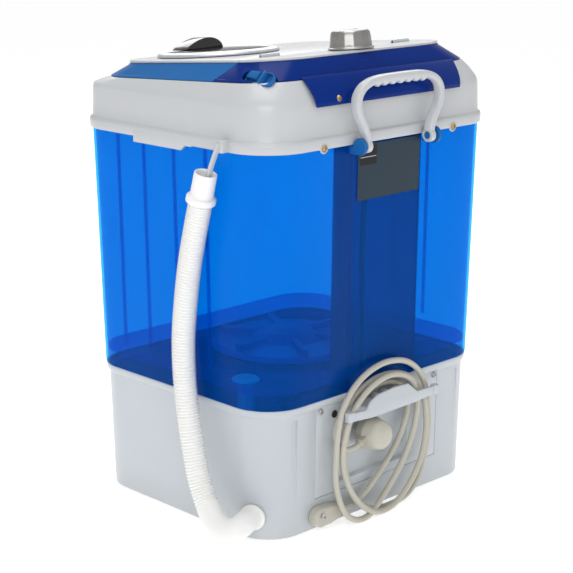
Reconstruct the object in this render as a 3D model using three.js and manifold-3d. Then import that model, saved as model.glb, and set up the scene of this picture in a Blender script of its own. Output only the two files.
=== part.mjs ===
// A mini washing machine with one translucent tub, as an assembly of separate pieces.
// Millimetres, +Z up, front at -Y, the user's right at +X. The origin is on the floor, under the
// axis of the wash plate.
import * as THREE from "three";
import { mergeVertices } from "three/addons/utils/BufferGeometryUtils.js";
import Module from "manifold-3d";

const wasm = await Module();
wasm.setup();

// Driving dimensions
const WIDTH = 376; // tub across its top, along X
const DEPTH = 320; // tub across its top, along Y
const CORNER_R = 51; // upright corners of the casing
const WALL = 3; // moulded walls
const GAP = 0.3; // between neighbouring pieces
const BITE = 0.05; // how far joined shapes reach into each other
const FOOT_HEIGHT = 3; // how far the feet hold the base off the floor
const BASE_TOP = 156; // height of the base housing
const TUB_TOP = 438; // where the white rim starts
const RIM_HEIGHT = 12; // lip of the white rim
const CAP_WALL = 38; // upright wall of the top frame above its lip
const TAPER = 0.0175; // how much each side leans out per millimetre of height
const BASE_STEP = 4; // base set in from the tub
const DISH_R = DEPTH / 2 - 25; // round dish in the tub floor
const TUB_FLOOR = 176; // inside of the tub floor, round the dish
const DISH_DEPTH = 10;
const COVER_WIDTH = 206; // rear service cover
const COVER_BOTTOM = 39;
const DUCT_WIDTH = 108; // cable duct in the rear wall of the tub
const DUCT_DEPTH = 26;
const TOP_INSET_X = 26; // how far the flat top is set in from the cap, at the sides
const TOP_INSET_Y = 17; // and at the front and rear
const TOP_SLOPE = 0.0865; // the flat top rises to the rear
const TOP_RISE = 86.6; // of the flat top above the rim's foot, over the tub axis
const SEAM_TOP_Y = 80; // seam between lid and control panel, on the flat top
const SEAM_LEAN = 0.79; // how far the seam moves back per millimetre up
const APRON_WIDTH = 234; // part of the control panel that hangs over the rear of the cap
const APRON_DROP = 5; // below the cap's shoulder
const KNOB_R = 23.5;
const KNOB_FLANGE_R = 24.5;
const KNOB_HEIGHT = 21;
const KNOB_X = 8;
const KNOB_Y = 109;
const WINDOW_R = 71; // round window in the lid
const WINDOW_X = 60;
const WINDOW_Y = -52;
const PULSATOR_R = DISH_R - 43;
const HANDLE_SPAN = 104; // between the middles of the handle's eyelets
const DRIVE_PULLEY_R = 60;
const MOTOR_PULLEY_R = 17;
const MOTOR_X = 83 - WIDTH / 2;
const CORD_D = 7;
const HOSE_D = 28;

// Worked out from them
const HX = WIDTH / 2;
const HY = DEPTH / 2;
const RIM_TOP = TUB_TOP + 2 + RIM_HEIGHT;
const CAP_TOP = RIM_TOP + CAP_WALL;
const DISH_FLOOR = TUB_FLOOR - DISH_DEPTH;
const leanIn = (z) => TAPER * (TUB_TOP - z);
const topAt = (y) => TUB_TOP + TOP_RISE + TOP_SLOPE * y;
const deckAt = (y) => TUB_TOP + TOP_RISE - 20.1 + (TOP_SLOPE - 0.0275) * y;
const rearAt = (z, inset = 0) => HY - leanIn(z) - inset;

// Finishes
const FINISH = {
  baseWhite: { color: 0xe9edf0, roughness: 0.45 },
  capWhite: { color: 0xe4e6e8, roughness: 0.4 },
  creamWhite: { color: 0xdcdace, roughness: 0.5 },
  tubBlue: { color: 0x0b5fd0, roughness: 0.12, transparent: true, opacity: 0.55 },
  panelBlue: { color: 0x0a2f86, roughness: 0.15 },
  lidBlue: { color: 0x1456a8, roughness: 0.15 },
  silver: { color: 0xb9bcc0, roughness: 0.3, metalness: 0.8 },
  steel: { color: 0xa8a9aa, roughness: 0.3, metalness: 1 },
  brass: { color: 0xa88a4c, roughness: 0.35, metalness: 1 },
  smoky: { color: 0x15181c, roughness: 0.1, transparent: true, opacity: 0.8 },
  black: { color: 0x121315, roughness: 0.3 },
  rubber: { color: 0x25272a, roughness: 0.85 },
  label: { color: 0x52707c, roughness: 0.4 },
  motorGrey: { color: 0x767c80, roughness: 0.5, metalness: 0.6 },
  pulleyGrey: { color: 0x4b4f54, roughness: 0.5 },
  pulsatorBlue: { color: 0x2a78d8, roughness: 0.3 },
};

// Solids: every shape is a three.js geometry, made a solid for cuts and joins
function solid(geometry) {
  const bare = geometry.index ? geometry.toNonIndexed() : geometry.clone();
  bare.deleteAttribute("normal");
  bare.deleteAttribute("uv");
  const merged = mergeVertices(bare, 1e-4);
  const index = merged.index.array;
  const triangles = [];
  for (let i = 0; i < index.length; i += 3) {
    const [a, b, c] = [index[i], index[i + 1], index[i + 2]];
    if (a !== b && b !== c && c !== a) triangles.push(a, b, c);
  }
  const make = (list) =>
    new wasm.Manifold(
      new wasm.Mesh({
        numProp: 3,
        vertProperties: new Float32Array(merged.attributes.position.array),
        triVerts: new Uint32Array(list),
      }),
    );
  const made = make(triangles);
  return made.volume() < 0 ? make(triangles.reverse()) : made;
}

function geometryOf(body) {
  const mesh = body.getMesh();
  const positions = new Float32Array(mesh.numVert * 3);
  for (let i = 0; i < mesh.numVert; i++) {
    positions.set(mesh.vertProperties.subarray(i * mesh.numProp, i * mesh.numProp + 3), i * 3);
  }
  const geometry = new THREE.BufferGeometry();
  geometry.setAttribute("position", new THREE.BufferAttribute(positions, 3));
  geometry.setIndex(new THREE.BufferAttribute(mesh.triVerts, 1));
  geometry.computeVertexNormals();
  return geometry;
}

// Joins and cuts
const join = (first, ...others) => others.reduce((a, b) => a.add(b), first);
const cut = (first, ...others) => others.reduce((a, b) => a.subtract(b), first);
const common = (a, b) => a.intersect(b);

// Basic shapes, placed by their corners, axis or middle
function box([x0, x1], [y0, y1], [z0, z1]) {
  const g = new THREE.BoxGeometry(x1 - x0, y1 - y0, z1 - z0);
  return solid(g.translate((x0 + x1) / 2, (y0 + y1) / 2, (z0 + z1) / 2));
}

function turned(geometry, axis) {
  if (axis === "x") geometry.rotateZ(-Math.PI / 2);
  if (axis === "z") geometry.rotateX(Math.PI / 2);
  return geometry;
}

function rod(axis, radius, length, [x, y, z] = [0, 0, 0], sides = 20, endRadius = radius) {
  const g = turned(new THREE.CylinderGeometry(endRadius, radius, length, sides), axis);
  return solid(g.translate(x, y, z));
}

function lathe(profile, sides = 32, axis = "z") {
  const points = profile.map(([r, z]) => new THREE.Vector2(r, z));
  return solid(turned(new THREE.LatheGeometry(points, sides), axis));
}

function roundedRect(hx, hy, r) {
  const shape = new THREE.Shape();
  shape.absarc(hx - r, hy - r, r, 0, Math.PI / 2);
  shape.absarc(r - hx, hy - r, r, Math.PI / 2, Math.PI);
  shape.absarc(r - hx, r - hy, r, Math.PI, 1.5 * Math.PI);
  shape.absarc(hx - r, r - hy, r, 1.5 * Math.PI, 2 * Math.PI);
  shape.closePath();
  return shape;
}

function prism(shape, depth, curveSegments = 6) {
  return new THREE.ExtrudeGeometry(shape, { depth, bevelEnabled: false, curveSegments });
}

// A solid through rounded rectangles of the same corner, one for each level. A level's height may
// vary along Y, and its rear corners may be rounder than its front ones.
function loft(levels, cornerSteps = 5) {
  const first = levels[0];
  const g = new THREE.ExtrudeGeometry(roundedRect(first.hx, first.hy, first.r), {
    depth: 1,
    steps: levels.length - 1,
    bevelEnabled: false,
    curveSegments: cornerSteps,
  });
  const p = g.attributes.position;
  for (let i = 0; i < p.count; i++) {
    const level = levels[Math.round(p.getZ(i) * (levels.length - 1))];
    const sx = Math.sign(p.getX(i));
    const sy = Math.sign(p.getY(i));
    const r = sy > 0 && level.rearR ? level.rearR : level.r;
    const x = sx * (level.hx - r + (r * (Math.abs(p.getX(i)) - first.hx + first.r)) / first.r);
    const y = sy * (level.hy - r + (r * (Math.abs(p.getY(i)) - first.hy + first.r)) / first.r);
    p.setXYZ(i, x, y, typeof level.z === "function" ? level.z(y) : level.z);
  }
  return solid(g);
}

// A casing level: its height, how far it is set in from the tub's own surface, and its corner
function level(z, inset = 0, corner = CORNER_R) {
  const height = typeof z === "function" ? z(0) : z;
  const lean = Math.max(leanIn(height), 0);
  return { z, hx: HX - lean - inset, hy: HY - lean - inset, r: corner - inset };
}

function circleShape(radius, sides) {
  const shape = new THREE.Shape();
  for (let i = 0; i < sides; i++) {
    const a = (2 * Math.PI * i) / sides;
    const [x, y] = [radius * Math.cos(a), radius * Math.sin(a)];
    if (i === 0) shape.moveTo(x, y);
    else shape.lineTo(x, y);
  }
  shape.closePath();
  return shape;
}

function along(points, shape, steps) {
  const path = new THREE.CatmullRomCurve3(points.map((p) => new THREE.Vector3(...p)));
  path.curveType = "centripetal";
  return solid(
    new THREE.ExtrudeGeometry(shape, {
      extrudePath: path,
      steps,
      bevelEnabled: false,
      curveSegments: 2,
    }),
  );
}

const tube = (points, radius, steps, sides = 10) =>
  along(points, circleShape(radius, sides), steps);

const washer = new THREE.Group();

function piece(name, body, finish, at = [0, 0, 0], turn = [0, 0, 0]) {
  const mesh = new THREE.Mesh(geometryOf(body), new THREE.MeshStandardMaterial(FINISH[finish]));
  mesh.name = name;
  mesh.position.set(...at);
  mesh.rotation.set(...turn);
  washer.add(mesh);
}

// Base: housing, floor plate, feet and the service cover in its rear wall
const coverHalf = COVER_WIDTH / 2;
const baseLevel = (z, inset = 0) => level(z, BASE_STEP + inset);
const coverTop = BASE_TOP - 8;
const HOSE_OUT = { angle: 0.42, z: 30 };

function baseShell(inset, from = FOOT_HEIGHT, to = BASE_TOP + 4) {
  return loft([baseLevel(from, inset), baseLevel(to, inset)]);
}

// The place on the rounded rear right corner of the base where the drain hose leaves it
function hoseOutlet(outward = 0) {
  const z = HOSE_OUT.z;
  const { hx, hy, r } = baseLevel(z);
  const reach = r + outward;
  return [
    hx - r + reach * Math.cos(HOSE_OUT.angle),
    hy - r + reach * Math.sin(HOSE_OUT.angle),
    z,
  ];
}

function baseHousing() {
  const lip = loft([
    baseLevel(FOOT_HEIGHT),
    baseLevel(BASE_TOP - 9),
    baseLevel(BASE_TOP - 6, -2.2),
    baseLevel(BASE_TOP, -BASE_STEP + 0.5),
  ]);
  const frame = box([-coverHalf - 8, coverHalf + 8], [HY - 30, HY], [COVER_BOTTOM - 8, BASE_TOP]);
  const behind = cut(baseShell(WALL - BITE, 10, BASE_TOP), baseShell(2 * WALL, 5));
  const ledge = cut(
    common(behind, frame),
    box([-coverHalf + 10, coverHalf - 10], [0, HY], [COVER_BOTTOM + 10, coverTop - 10]),
  );
  const opening = box(
    [-coverHalf - GAP, coverHalf + GAP],
    [0, HY + 10],
    [COVER_BOTTOM - GAP, coverTop + GAP],
  );
  const outletHole = rod("x", 10.4, 60).rotate([0, 0, (HOSE_OUT.angle * 180) / Math.PI]);
  return cut(
    join(cut(lip, baseShell(WALL, 0), common(opening, baseShell(-5, 0))), ledge),
    outletHole.translate(hoseOutlet(-10)),
    rod("y", 4.5, 30, [clampX, rearAt(clampZ, BASE_STEP), clampZ]),
    ...screwPlaces.cover.map(([x, z]) => rod("y", 2, 30, [x, rearAt(z, BASE_STEP), z], 10)),
  );
}

const clampX = 84;
const clampZ = 19;
const screwPlaces = {
  cover: [-1, 1].map((side) => [side * (coverHalf - 6), coverTop - 6]),
  panel: [-1, 1].map((side) => [side * (APRON_WIDTH / 2 - 34), CAP_TOP + 2]),
};
const hangerHalf = 27;
const PLUG = { x: 24, z: 102, r: 19.5 };
const pinX = [-9.5, 9.5].map((dx) => PLUG.x + dx);

function rearCover() {
  const plate = common(
    cut(baseShell(0), baseShell(WALL - GAP, 0)),
    box([-coverHalf, coverHalf], [0, HY + 10], [COVER_BOTTOM, coverTop]),
  );
  return cut(
    plate,
    ...screwPlaces.cover.map(([x, z]) => rod("y", 2, 30, [x, rearAt(z, BASE_STEP), z], 10)),
    rod("y", 4.5, 30, [74, HY, 134], 14),
    ...pinX.map((x) => rod("y", 2.8, 30, [x, HY, PLUG.z], 10)),
  );
}

// The middle of the bottom plate is a round pad, lower than the rest
const PAD_HEIGHT = 0.6;

function bottomPlate() {
  const z = FOOT_HEIGHT;
  const plate = join(
    loft([baseLevel(z + PAD_HEIGHT, WALL + GAP), baseLevel(z + WALL, WALL + GAP)]),
    rod("z", 56, WALL, [0, 0, z + WALL / 2], 40),
  );
  const slots = [];
  for (let row = -3; row <= 3; row++) {
    if (row !== 0) slots.push(box([-130, -60], [row * 14 - 3, row * 14 + 3], [0, 20]));
  }
  return cut(plate, ...slots);
}

piece("base_housing", baseHousing(), "baseWhite");
piece("bottom_plate", bottomPlate(), "baseWhite");
piece("rear_cover", rearCover(), "baseWhite");

const footX = HX - 50;
const footY = HY - 45;
[
  ["front_left", -1, -1],
  ["front_right", 1, -1],
  ["rear_left", -1, 1],
  ["rear_right", 1, 1],
].forEach(([corner, sx, sy]) => {
  const foot = lathe([[0, 0], [11, 0], [13, FOOT_HEIGHT - GAP], [0, FOOT_HEIGHT - GAP]], 20);
  piece("foot_" + corner, foot, "rubber", [sx * footX, sy * footY, 0]);
});

// Tub: outer walls, floor with a round dish, cable duct in the rear wall and the handle's ears
const tubBottom = BASE_TOP + GAP;
const tubRimTop = RIM_TOP - 1.5;
const ductHalf = DUCT_WIDTH / 2;
const pivotY = HY + 14;
const pivotZ = TUB_TOP + 1;
const eyeletR = 9;
const earMiddle = HANDLE_SPAN / 2 + 9;
const pegZ = pivotZ - 5;
const DRAIN = { x: HX - 40, y: HY - 76, r: 13 };
const PEG_R = 2.5;

function tubShell(inset, from, to = tubRimTop) {
  return loft([level(from, inset), level(TUB_TOP, inset), { ...level(TUB_TOP, inset), z: to }]);
}

function washTub() {
  const under = cut(
    loft([level(tubBottom - 4, WALL), level(TUB_FLOOR - 4, WALL)]),
    rod("z", DISH_R + 4, 40, [0, 0, DISH_FLOOR + 16], 36),
  );
  const dish = lathe(
    [[0, DISH_FLOOR], [DISH_R - 12, DISH_FLOOR], [DISH_R, TUB_FLOOR + 1], [0, TUB_FLOOR + 1]],
    36,
  );
  const inside = tubShell(WALL, TUB_FLOOR, tubRimTop + 5);
  const column = box(
    [-ductHalf - WALL, ductHalf + WALL],
    [HY - DUCT_DEPTH - WALL, HY - 8],
    [TUB_FLOOR - 2, tubRimTop],
  );
  const duct = box([-ductHalf, ductHalf], [HY - DUCT_DEPTH, HY + 10], [tubBottom - 5, 500]);
  const ribs = [];
  for (let i = 0; i < 4; i++) {
    for (const side of [-1, 1]) {
      const y = -87 + 49.3 * i;
      ribs.push(rod("z", 1.6, TUB_TOP - TUB_FLOOR - 30, [0, 0, 0], 8)
        .rotate([0, (side * TAPER * 180) / Math.PI, 0])
        .translate([side * (HX - WALL - 2.4), y, (TUB_TOP + TUB_FLOOR) / 2 + 5]));
    }
  }
  const walls = cut(tubShell(0, tubBottom), inside, dish, under);
  return cut(
    join(cut(join(walls, common(column, tubShell(WALL / 2, TUB_FLOOR - 2))), duct), ...ribs),
    rod("z", 13, 60, [0, 0, DISH_FLOOR], 24),
    rod("z", DRAIN.r, 60, [DRAIN.x, DRAIN.y, TUB_FLOOR], 20),
    ...rimTabs.map(([x, y]) => rod("y", 1.8, 12, [x, y, tabZ], 10)),
    ...[-1, 1].map((side) => rod("y", PEG_R + GAP, 12, [side * earMiddle, HY, pegZ], 12)),
  );
}

// One ear outside each eyelet of the handle, pegged into the wall of the tub
function handleEar(side) {
  const x = side * earMiddle;
  return join(
    rod("x", eyeletR + 0.5, 4, [x, pivotY, pivotZ], 24),
    box([x - 2, x + 2], [HY + GAP, pivotY], [pivotZ - eyeletR, pivotZ]),
    rod("y", PEG_R, 4, [x, HY, pegZ], 12),
    rod("x", 4, 12, [x - side * 7, pivotY, pivotZ], 16),
  );
}

const tabZ = TUB_TOP + 3.5;
const rimTabs = [-1, 1].flatMap((side) => [-1, 1].map((sy) => [side * (HX - 82), sy * HY]));

function ductCover() {
  const plate = cut(tubShell(0, tubBottom, TUB_TOP), tubShell(WALL - GAP, tubBottom - 5, 460));
  return cut(
    common(plate, box([GAP - ductHalf, ductHalf - GAP], [0, HY + 5], [0, TUB_TOP])),
    ...[-1, 1].map((side) => rod("y", PEG_R + GAP, 12, [side * earMiddle, HY, pegZ], 12)),
  );
}

piece("wash_tub", washTub(), "tubBlue");
piece("handle_ear_left", handleEar(-1), "tubBlue");
piece("handle_ear_right", handleEar(1), "tubBlue");
piece("duct_cover", ductCover(), "tubBlue");

// Rating label on the duct cover, leaning with the wall
const labelZ = TUB_TOP - 32;
piece(
  "rating_label",
  box([-51, 51], [0, 0.5], [-31, 31]),
  "label",
  [-1, rearAt(labelZ) + GAP, labelZ],
  [-Math.atan(TAPER), 0, 0],
);

// Top frame: lip round the tub, upright wall, rounded shoulder and a deck with the wash opening
const deckLevel = (inset, down = 0) => ({
  z: (y) => deckAt(y) - down,
  hx: HX - 16 - inset,
  hy: HY - 16 - inset,
  r: CORNER_R - inset,
});
const shoulder = (rise, inset, more = 0) => ({
  z: (y) => CAP_TOP + rise * (deckAt(y) - CAP_TOP) - more / 2,
  hx: HX - inset - more,
  hy: HY - inset - more,
  r: CORNER_R - more,
});
const OPENING = { hx: 122, front: -114, rear: 52, r: 36 };

// Where the oval water inlet sinks into the sloping side of the panel
const inletAt = { x: HX - 27, y: HY - 42, z: TUB_TOP + 82 };

function inletPocket(grow) {
  const oval = prism(roundedRect(9 + grow, 20 + grow, 8.9 + grow), 24 + grow);
  return solid(oval)
    .translate([0, 0, -20])
    .rotate([0, 44, 0])
    .translate([inletAt.x, inletAt.y, inletAt.z]);
}

function topFrame() {
  const outer = loft([
    level(TUB_TOP + 2, -3.5),
    level(RIM_TOP, -3.5),
    level(RIM_TOP + 2, 0),
    level(CAP_TOP, 1),
    shoulder(0.35, 3),
    shoulder(0.72, 8),
    deckLevel(0),
  ]);
  const inner = loft([
    level(TUB_TOP, -GAP),
    level(RIM_TOP - 1, -GAP),
    { ...level(RIM_TOP - 0.9, WALL + 0.6) },
    level(CAP_TOP, WALL + 1),
    shoulder(0.35, 3, WALL),
    shoulder(0.72, 8, WALL),
    deckLevel(WALL, WALL),
  ]);
  const middle = (OPENING.front + OPENING.rear) / 2;
  const opening = solid(
    prism(roundedRect(OPENING.hx, (OPENING.rear - OPENING.front) / 2, OPENING.r), 200),
  ).translate([0, middle, CAP_TOP - 40]);
  const tabs = rimTabs.map(([x, y]) =>
    rod("y", 6, 3, [x, y + Math.sign(y) * 2, tabZ], 20),
  );
  const hidden = box([-HX, HX], [-HY - GAP, HY + GAP], [TUB_TOP - 20, RIM_TOP - 2]);
  return cut(
    join(cut(outer, inner), ...tabs.map((tab) => cut(tab, hidden))),
    opening,
    box([-70, 70], [KNOB_Y - 26, KNOB_Y + 30], [CAP_TOP, 560]),
    inletPocket(GAP),
    ...screwPlaces.panel.map(([x, z]) => rod("y", 1.8, 30, [x, HY, z], 10)),
    ...rimTabs.map(([x, y]) => rod("y", 1.8, 20, [x, y, tabZ], 10)),
  );
}

piece("top_frame", topFrame(), "capWhite");

// Lid and control panel: one sloping shell, parted along a leaning seam
const skirtBottom = (inset, up = GAP) => ({
  z: (y) => deckAt(y) + up,
  hx: HX - 16 - inset,
  hy: HY - 16 - inset,
  r: CORNER_R - inset,
});
const flatTop = (inset, up = 0) => ({
  z: (y) => topAt(y) + up,
  hx: HX - 16 - TOP_INSET_X + 4 - inset,
  hy: HY - 16 - TOP_INSET_Y + 4 - inset,
  r: CORNER_R - 9 - inset,
  rearR: CORNER_R + 6 - inset,
});
const TOP_PLATE = 3;
const SKIRT_WALL = 2.6;
const seamZ = topAt(SEAM_TOP_Y);

// Everything in front of the seam, moved back by a distance
function inFront(back) {
  const shape = new THREE.Shape();
  shape.moveTo(-400, -400);
  shape.lineTo(SEAM_TOP_Y - SEAM_LEAN * 200 + back, -200);
  shape.lineTo(SEAM_TOP_Y + SEAM_LEAN * 100 + back, 100);
  shape.lineTo(-400, 100);
  shape.closePath();
  const g = prism(shape, 800);
  g.rotateX(Math.PI / 2);
  g.rotateZ(Math.PI / 2);
  return solid(g.translate(-400, 0, seamZ));
}

function skirt() {
  const outer = loft([skirtBottom(0), flatTop(0, -TOP_PLATE - GAP)]);
  const inner = loft([
    skirtBottom(SKIRT_WALL, -1),
    flatTop(SKIRT_WALL, -TOP_PLATE - SKIRT_WALL - GAP),
  ]);
  return cut(outer, inner);
}

const topPlate = () => loft([flatTop(0, -TOP_PLATE), flatTop(0.6)]);

// Hinge knuckles along the top of the seam
const HINGE_X = HX - 82;
const hingeY = SEAM_TOP_Y + 0.5;
const hingeZ = seamZ + 0.8;
const KNUCKLE_R = 3;
const PIN_R = 1.4;

function knuckles(list) {
  return list.map(([x0, x1]) =>
    rod("x", KNUCKLE_R, x1 - x0, [(x0 + x1) / 2, hingeY, hingeZ], 14),
  );
}

const lidKnuckles = [-1, 1].flatMap((side) =>
  [-1, 1].map((end) => [side * HINGE_X + end * 9.5 - 4, side * HINGE_X + end * 9.5 + 4]),
);
const panelKnuckles = [-1, 1].map((side) => [side * HINGE_X - 5, side * HINGE_X + 5]);
const pinHoles = () =>
  [-1, 1].map((side) => rod("x", PIN_R + 0.25, 40, [side * HINGE_X, hingeY, hingeZ], 12));
const clearance = (list) =>
  list.map(([x0, x1]) =>
    rod("x", KNUCKLE_R + 0.8, x1 - x0 + 1, [(x0 + x1) / 2, hingeY, hingeZ], 14),
  );

const bezelTop = topAt(WINDOW_Y);
const tilt = Math.atan(TOP_SLOPE);
const windowHole = (radius) =>
  rod("z", radius, 60, [0, 0, 0], 40)
    .rotate([(tilt * 180) / Math.PI, 0, 0])
    .translate([WINDOW_X, WINDOW_Y, bezelTop]);

const lidShell = common(skirt(), inFront(-0.6));
const lidTop = join(
  cut(common(topPlate(), inFront(-0.6)), windowHole(WINDOW_R - 8), ...clearance(panelKnuckles)),
  ...knuckles(lidKnuckles),
);
piece("lid_shell", cut(lidShell, windowHole(WINDOW_R - 8), ...clearance(panelKnuckles)), "lidBlue");
piece("lid_top", cut(lidTop, ...pinHoles()), "capWhite");

// Round window: silver ring, smoky pane and a black grip
const ring = lathe(
  [
    [WINDOW_R - 15, 0.3], [WINDOW_R - 2, 0.3], [WINDOW_R, 2.6], [WINDOW_R - 3, 5.6],
    [WINDOW_R - 12, 5.2], [WINDOW_R - 12, 3.4], [WINDOW_R - 15, 3.4], [WINDOW_R - 15, 0.3],
  ],
  40,
);
const pane = lathe(
  [
    [0, 3.7], [WINDOW_R - 12.4, 3.7], [WINDOW_R - 12.4, 5.4], [WINDOW_R * 0.4, 6.6], [0, 7],
  ],
  40,
);

function windowGrip() {
  const arch = new THREE.Shape();
  arch.moveTo(-30, 0);
  arch.bezierCurveTo(-16, 8, -6, 11, 6, 11);
  arch.bezierCurveTo(18, 11, 26, 7, 30, 0);
  arch.closePath();
  const g = prism(arch, 24, 8);
  g.rotateX(Math.PI / 2);
  return solid(g.translate(0, 12, 7.3));
}

const onWindow = [WINDOW_X, WINDOW_Y, bezelTop];
piece("window_bezel", ring, "silver", onWindow, [tilt, 0, 0]);
piece("window_pane", pane, "smoky", onWindow, [tilt, 0, 0]);
const gripY = WINDOW_Y - 32;
piece("window_grip", windowGrip(), "black", [WINDOW_X + 2, gripY, topAt(gripY)], [tilt, 0, 0]);

// Control panel: blue skirt with an apron over the rear of the cap, white top, knob and timer
function apron() {
  const out = 0.7;
  const t = 1.8;
  const shape = new THREE.Shape();
  const low = CAP_TOP - APRON_DROP;
  const high = deckAt(HY - 16) + 1.4;
  const points = [
    [HY - 1 + out, low],
    [HY - 1 + out, CAP_TOP],
    [HY - 3 + out, CAP_TOP + 0.35 * (deckAt(HY) - CAP_TOP)],
    [HY - 8 + out, CAP_TOP + 0.72 * (deckAt(HY) - CAP_TOP)],
    [HY - 17, high],
  ];
  const outer = points.map(([y, z]) => [y + t, z + (z > CAP_TOP ? t / 2 : 0)]).reverse();
  [...points, ...outer].forEach(([y, z], i) => (i ? shape.lineTo(y, z) : shape.moveTo(y, z)));
  shape.closePath();
  const g = prism(shape, APRON_WIDTH);
  g.rotateX(Math.PI / 2);
  g.rotateZ(Math.PI / 2);
  return solid(g.translate(-APRON_WIDTH / 2, 0, 0));
}

const behindSeam = (body) => cut(body, inFront(0.6));
const knobAt = [KNOB_X, KNOB_Y, topAt(KNOB_Y)];
const onKnobAxis = (body) =>
  body.rotate([(tilt * 180) / Math.PI, 0, 0]).translate(knobAt);
const panelBody = join(behindSeam(skirt()), apron());
piece(
  "control_panel",
  cut(
    panelBody,
    inletPocket(GAP),
    onKnobAxis(rod("z", 8, 40, [0, 0, 0], 20)),
    ...clearance(lidKnuckles),
    ...screwPlaces.panel.map(([x, z]) => rod("y", 1.8, 30, [x, HY, z], 10)),
  ),
  "panelBlue",
);
piece(
  "panel_top",
  cut(
    join(
      cut(behindSeam(topPlate()), ...clearance(lidKnuckles)),
      ...knuckles(panelKnuckles),
    ),
    onKnobAxis(rod("z", 5, 40, [0, 0, 0], 20)),
    ...pinHoles(),
  ),
  "capWhite",
);
[["left", -1], ["right", 1]].forEach(([hand, side]) => {
  piece("hinge_pin_" + hand, rod("x", PIN_R, 27, [0, 0, 0], 12), "steel", [
    side * HINGE_X, hingeY, hingeZ,
  ]);
});

// Water inlet: an oval cup sunk into the sloping side of the control panel
const cup = common(
  cut(inletPocket(0), inletPocket(-1.8).translate([3, 0, 3])),
  loft([skirtBottom(0, -20), skirtBottom(0), flatTop(0, -TOP_PLATE - 1)]),
);
piece("water_inlet", cut(cup, rod("z", 4, 60, [inletAt.x - 6, inletAt.y + 6, 500], 14)), "panelBlue");

const knobProfile = [
  [0, 1], [KNOB_FLANGE_R, 1], [KNOB_FLANGE_R, 2.4], [KNOB_R, 3], [KNOB_R - 0.6, KNOB_HEIGHT - 5],
  [KNOB_R - 2.6, KNOB_HEIGHT], [0, KNOB_HEIGHT + 0.6],
];
const shaftTop = 12;
const knob = cut(lathe(knobProfile, 24), rod("z", 3.5, 24, [0, 0, shaftTop - 12 + GAP], 14));
piece("timer_knob", knob, "silver", knobAt, [tilt, 0, 0]);
piece("timer_shaft", rod("z", 3, 22, [0, 0, shaftTop - 11], 14), "steel", knobAt, [tilt, 0, 0]);
const timerTop = -TOP_PLATE - SKIRT_WALL - 2;
const timerBody = cut(
  join(
    box([-24, 24], [-20, 18], [timerTop - 26, timerTop]),
    rod("z", 7, 4, [0, 0, timerTop + 1.6], 20),
  ),
  rod("z", 3.3, 30, [0, 0, shaftTop - 22 + 15 - GAP], 14),
);
piece("timer_body", timerBody, "black", knobAt, [tilt, 0, 0]);

// Carry handle: a bail on the tub's ears, with finger waves under its grip
function handle() {
  const half = HANDLE_SPAN / 2;
  const side = [[half, 5], [half + 1, 12], [half + 8, 27], [half + 15, 43], [half + 14, 57], [half, 67], [31, 72]];
  const left = side.map(([x, z]) => [-x, 0, z]);
  const right = side.map(([x, z]) => [x, 0, z]).reverse();
  const section = roundedRect(4.2, 6, 3.2);
  const bail = along([...left, [0, 0, 73], ...right], section, 34);
  const grip = [-36, -24, -12, 0, 12, 24, 36].map((x) =>
    rod("y", 6, 9, [x, 0, 69 - 0.0035 * x * x], 10),
  );
  const eyes = [-half, half].map((x) => rod("x", eyeletR, 8, [x, 0, 0], 24));
  const holes = [-half, half].map((x) => rod("x", 4.5, 20, [x, 0, 0], 20));
  return cut(join(bail, ...grip, ...eyes), ...holes);
}

piece("carry_handle", handle(), "creamWhite", [0, pivotY, pivotZ]);

// Cord hanger: a block on the service cover with two outward arms
function cordHanger() {
  const arms = new THREE.Shape();
  arms.moveTo(-74, 130);
  arms.lineTo(-hangerHalf - 8, 128);
  arms.lineTo(hangerHalf + 8, 128);
  arms.lineTo(74, 130);
  arms.lineTo(74, 140);
  arms.lineTo(hangerHalf + 10, 139);
  arms.lineTo(hangerHalf - 8, 150);
  arms.lineTo(8 - hangerHalf, 150);
  arms.lineTo(-hangerHalf - 10, 139);
  arms.lineTo(-74, 140);
  arms.closePath();
  const plate = prism(arms, 3);
  plate.rotateX(Math.PI / 2);
  const back = rearAt(130, BASE_STEP) + GAP + 0.2;
  const block = box([-hangerHalf, hangerHalf], [back, hangerY], [130, 144]);
  return join(solid(plate.translate(0, hangerY, 0)), block);
}

const hangerY = rearAt(130, BASE_STEP) + 25;
piece("cord_hanger", cordHanger(), "baseWhite");

// Cord clamp: the tapered strain relief screwed to the foot of the rear wall
const clampBack = rearAt(0, BASE_STEP) + 1.2;

function cordClamp() {
  const shape = new THREE.Shape();
  shape.moveTo(30, -11);
  shape.absarc(18, 0, 13, -1.1, 1.6);
  shape.lineTo(-21, 7);
  shape.lineTo(-21, -7);
  shape.closePath();
  const g = prism(shape, 13, 5);
  g.rotateX(-Math.PI / 2);
  return cut(
    solid(g),
    rod("y", 2, 40, [19, 6, 3], 10),
    rod("x", 3.8, 30, [-16, 6.5, 0], 14),
  );
}

piece("cord_clamp", cordClamp(), "creamWhite", [clampX, clampBack, clampZ]);

// Screws: a domed head with a cross, on a short shank
function screw(headR, shankR, length) {
  const shape = [
    [0, -length], [shankR, -length], [shankR, 0], [headR, 0], [headR * 0.75, headR * 0.5],
    [0, headR * 0.62],
  ];
  const [long, narrow, depth] = [
    [-headR * 0.6, headR * 0.6], [-0.7, 0.7], [headR * 0.3, headR],
  ];
  return cut(lathe(shape, 8), box(long, narrow, depth), box(narrow, long, depth));
}

function rearScrews(prefix, places, headR, finish, depth, length) {
  const facing = [-Math.PI / 2, 0, 0];
  places.forEach(([x, z]) => {
    const name = places.length > 1 ? prefix + (x < 0 ? "_left" : "_right") : prefix;
    piece(name, screw(headR, 1.5, length), finish, [x, depth(z), z], facing);
  });
}

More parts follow.
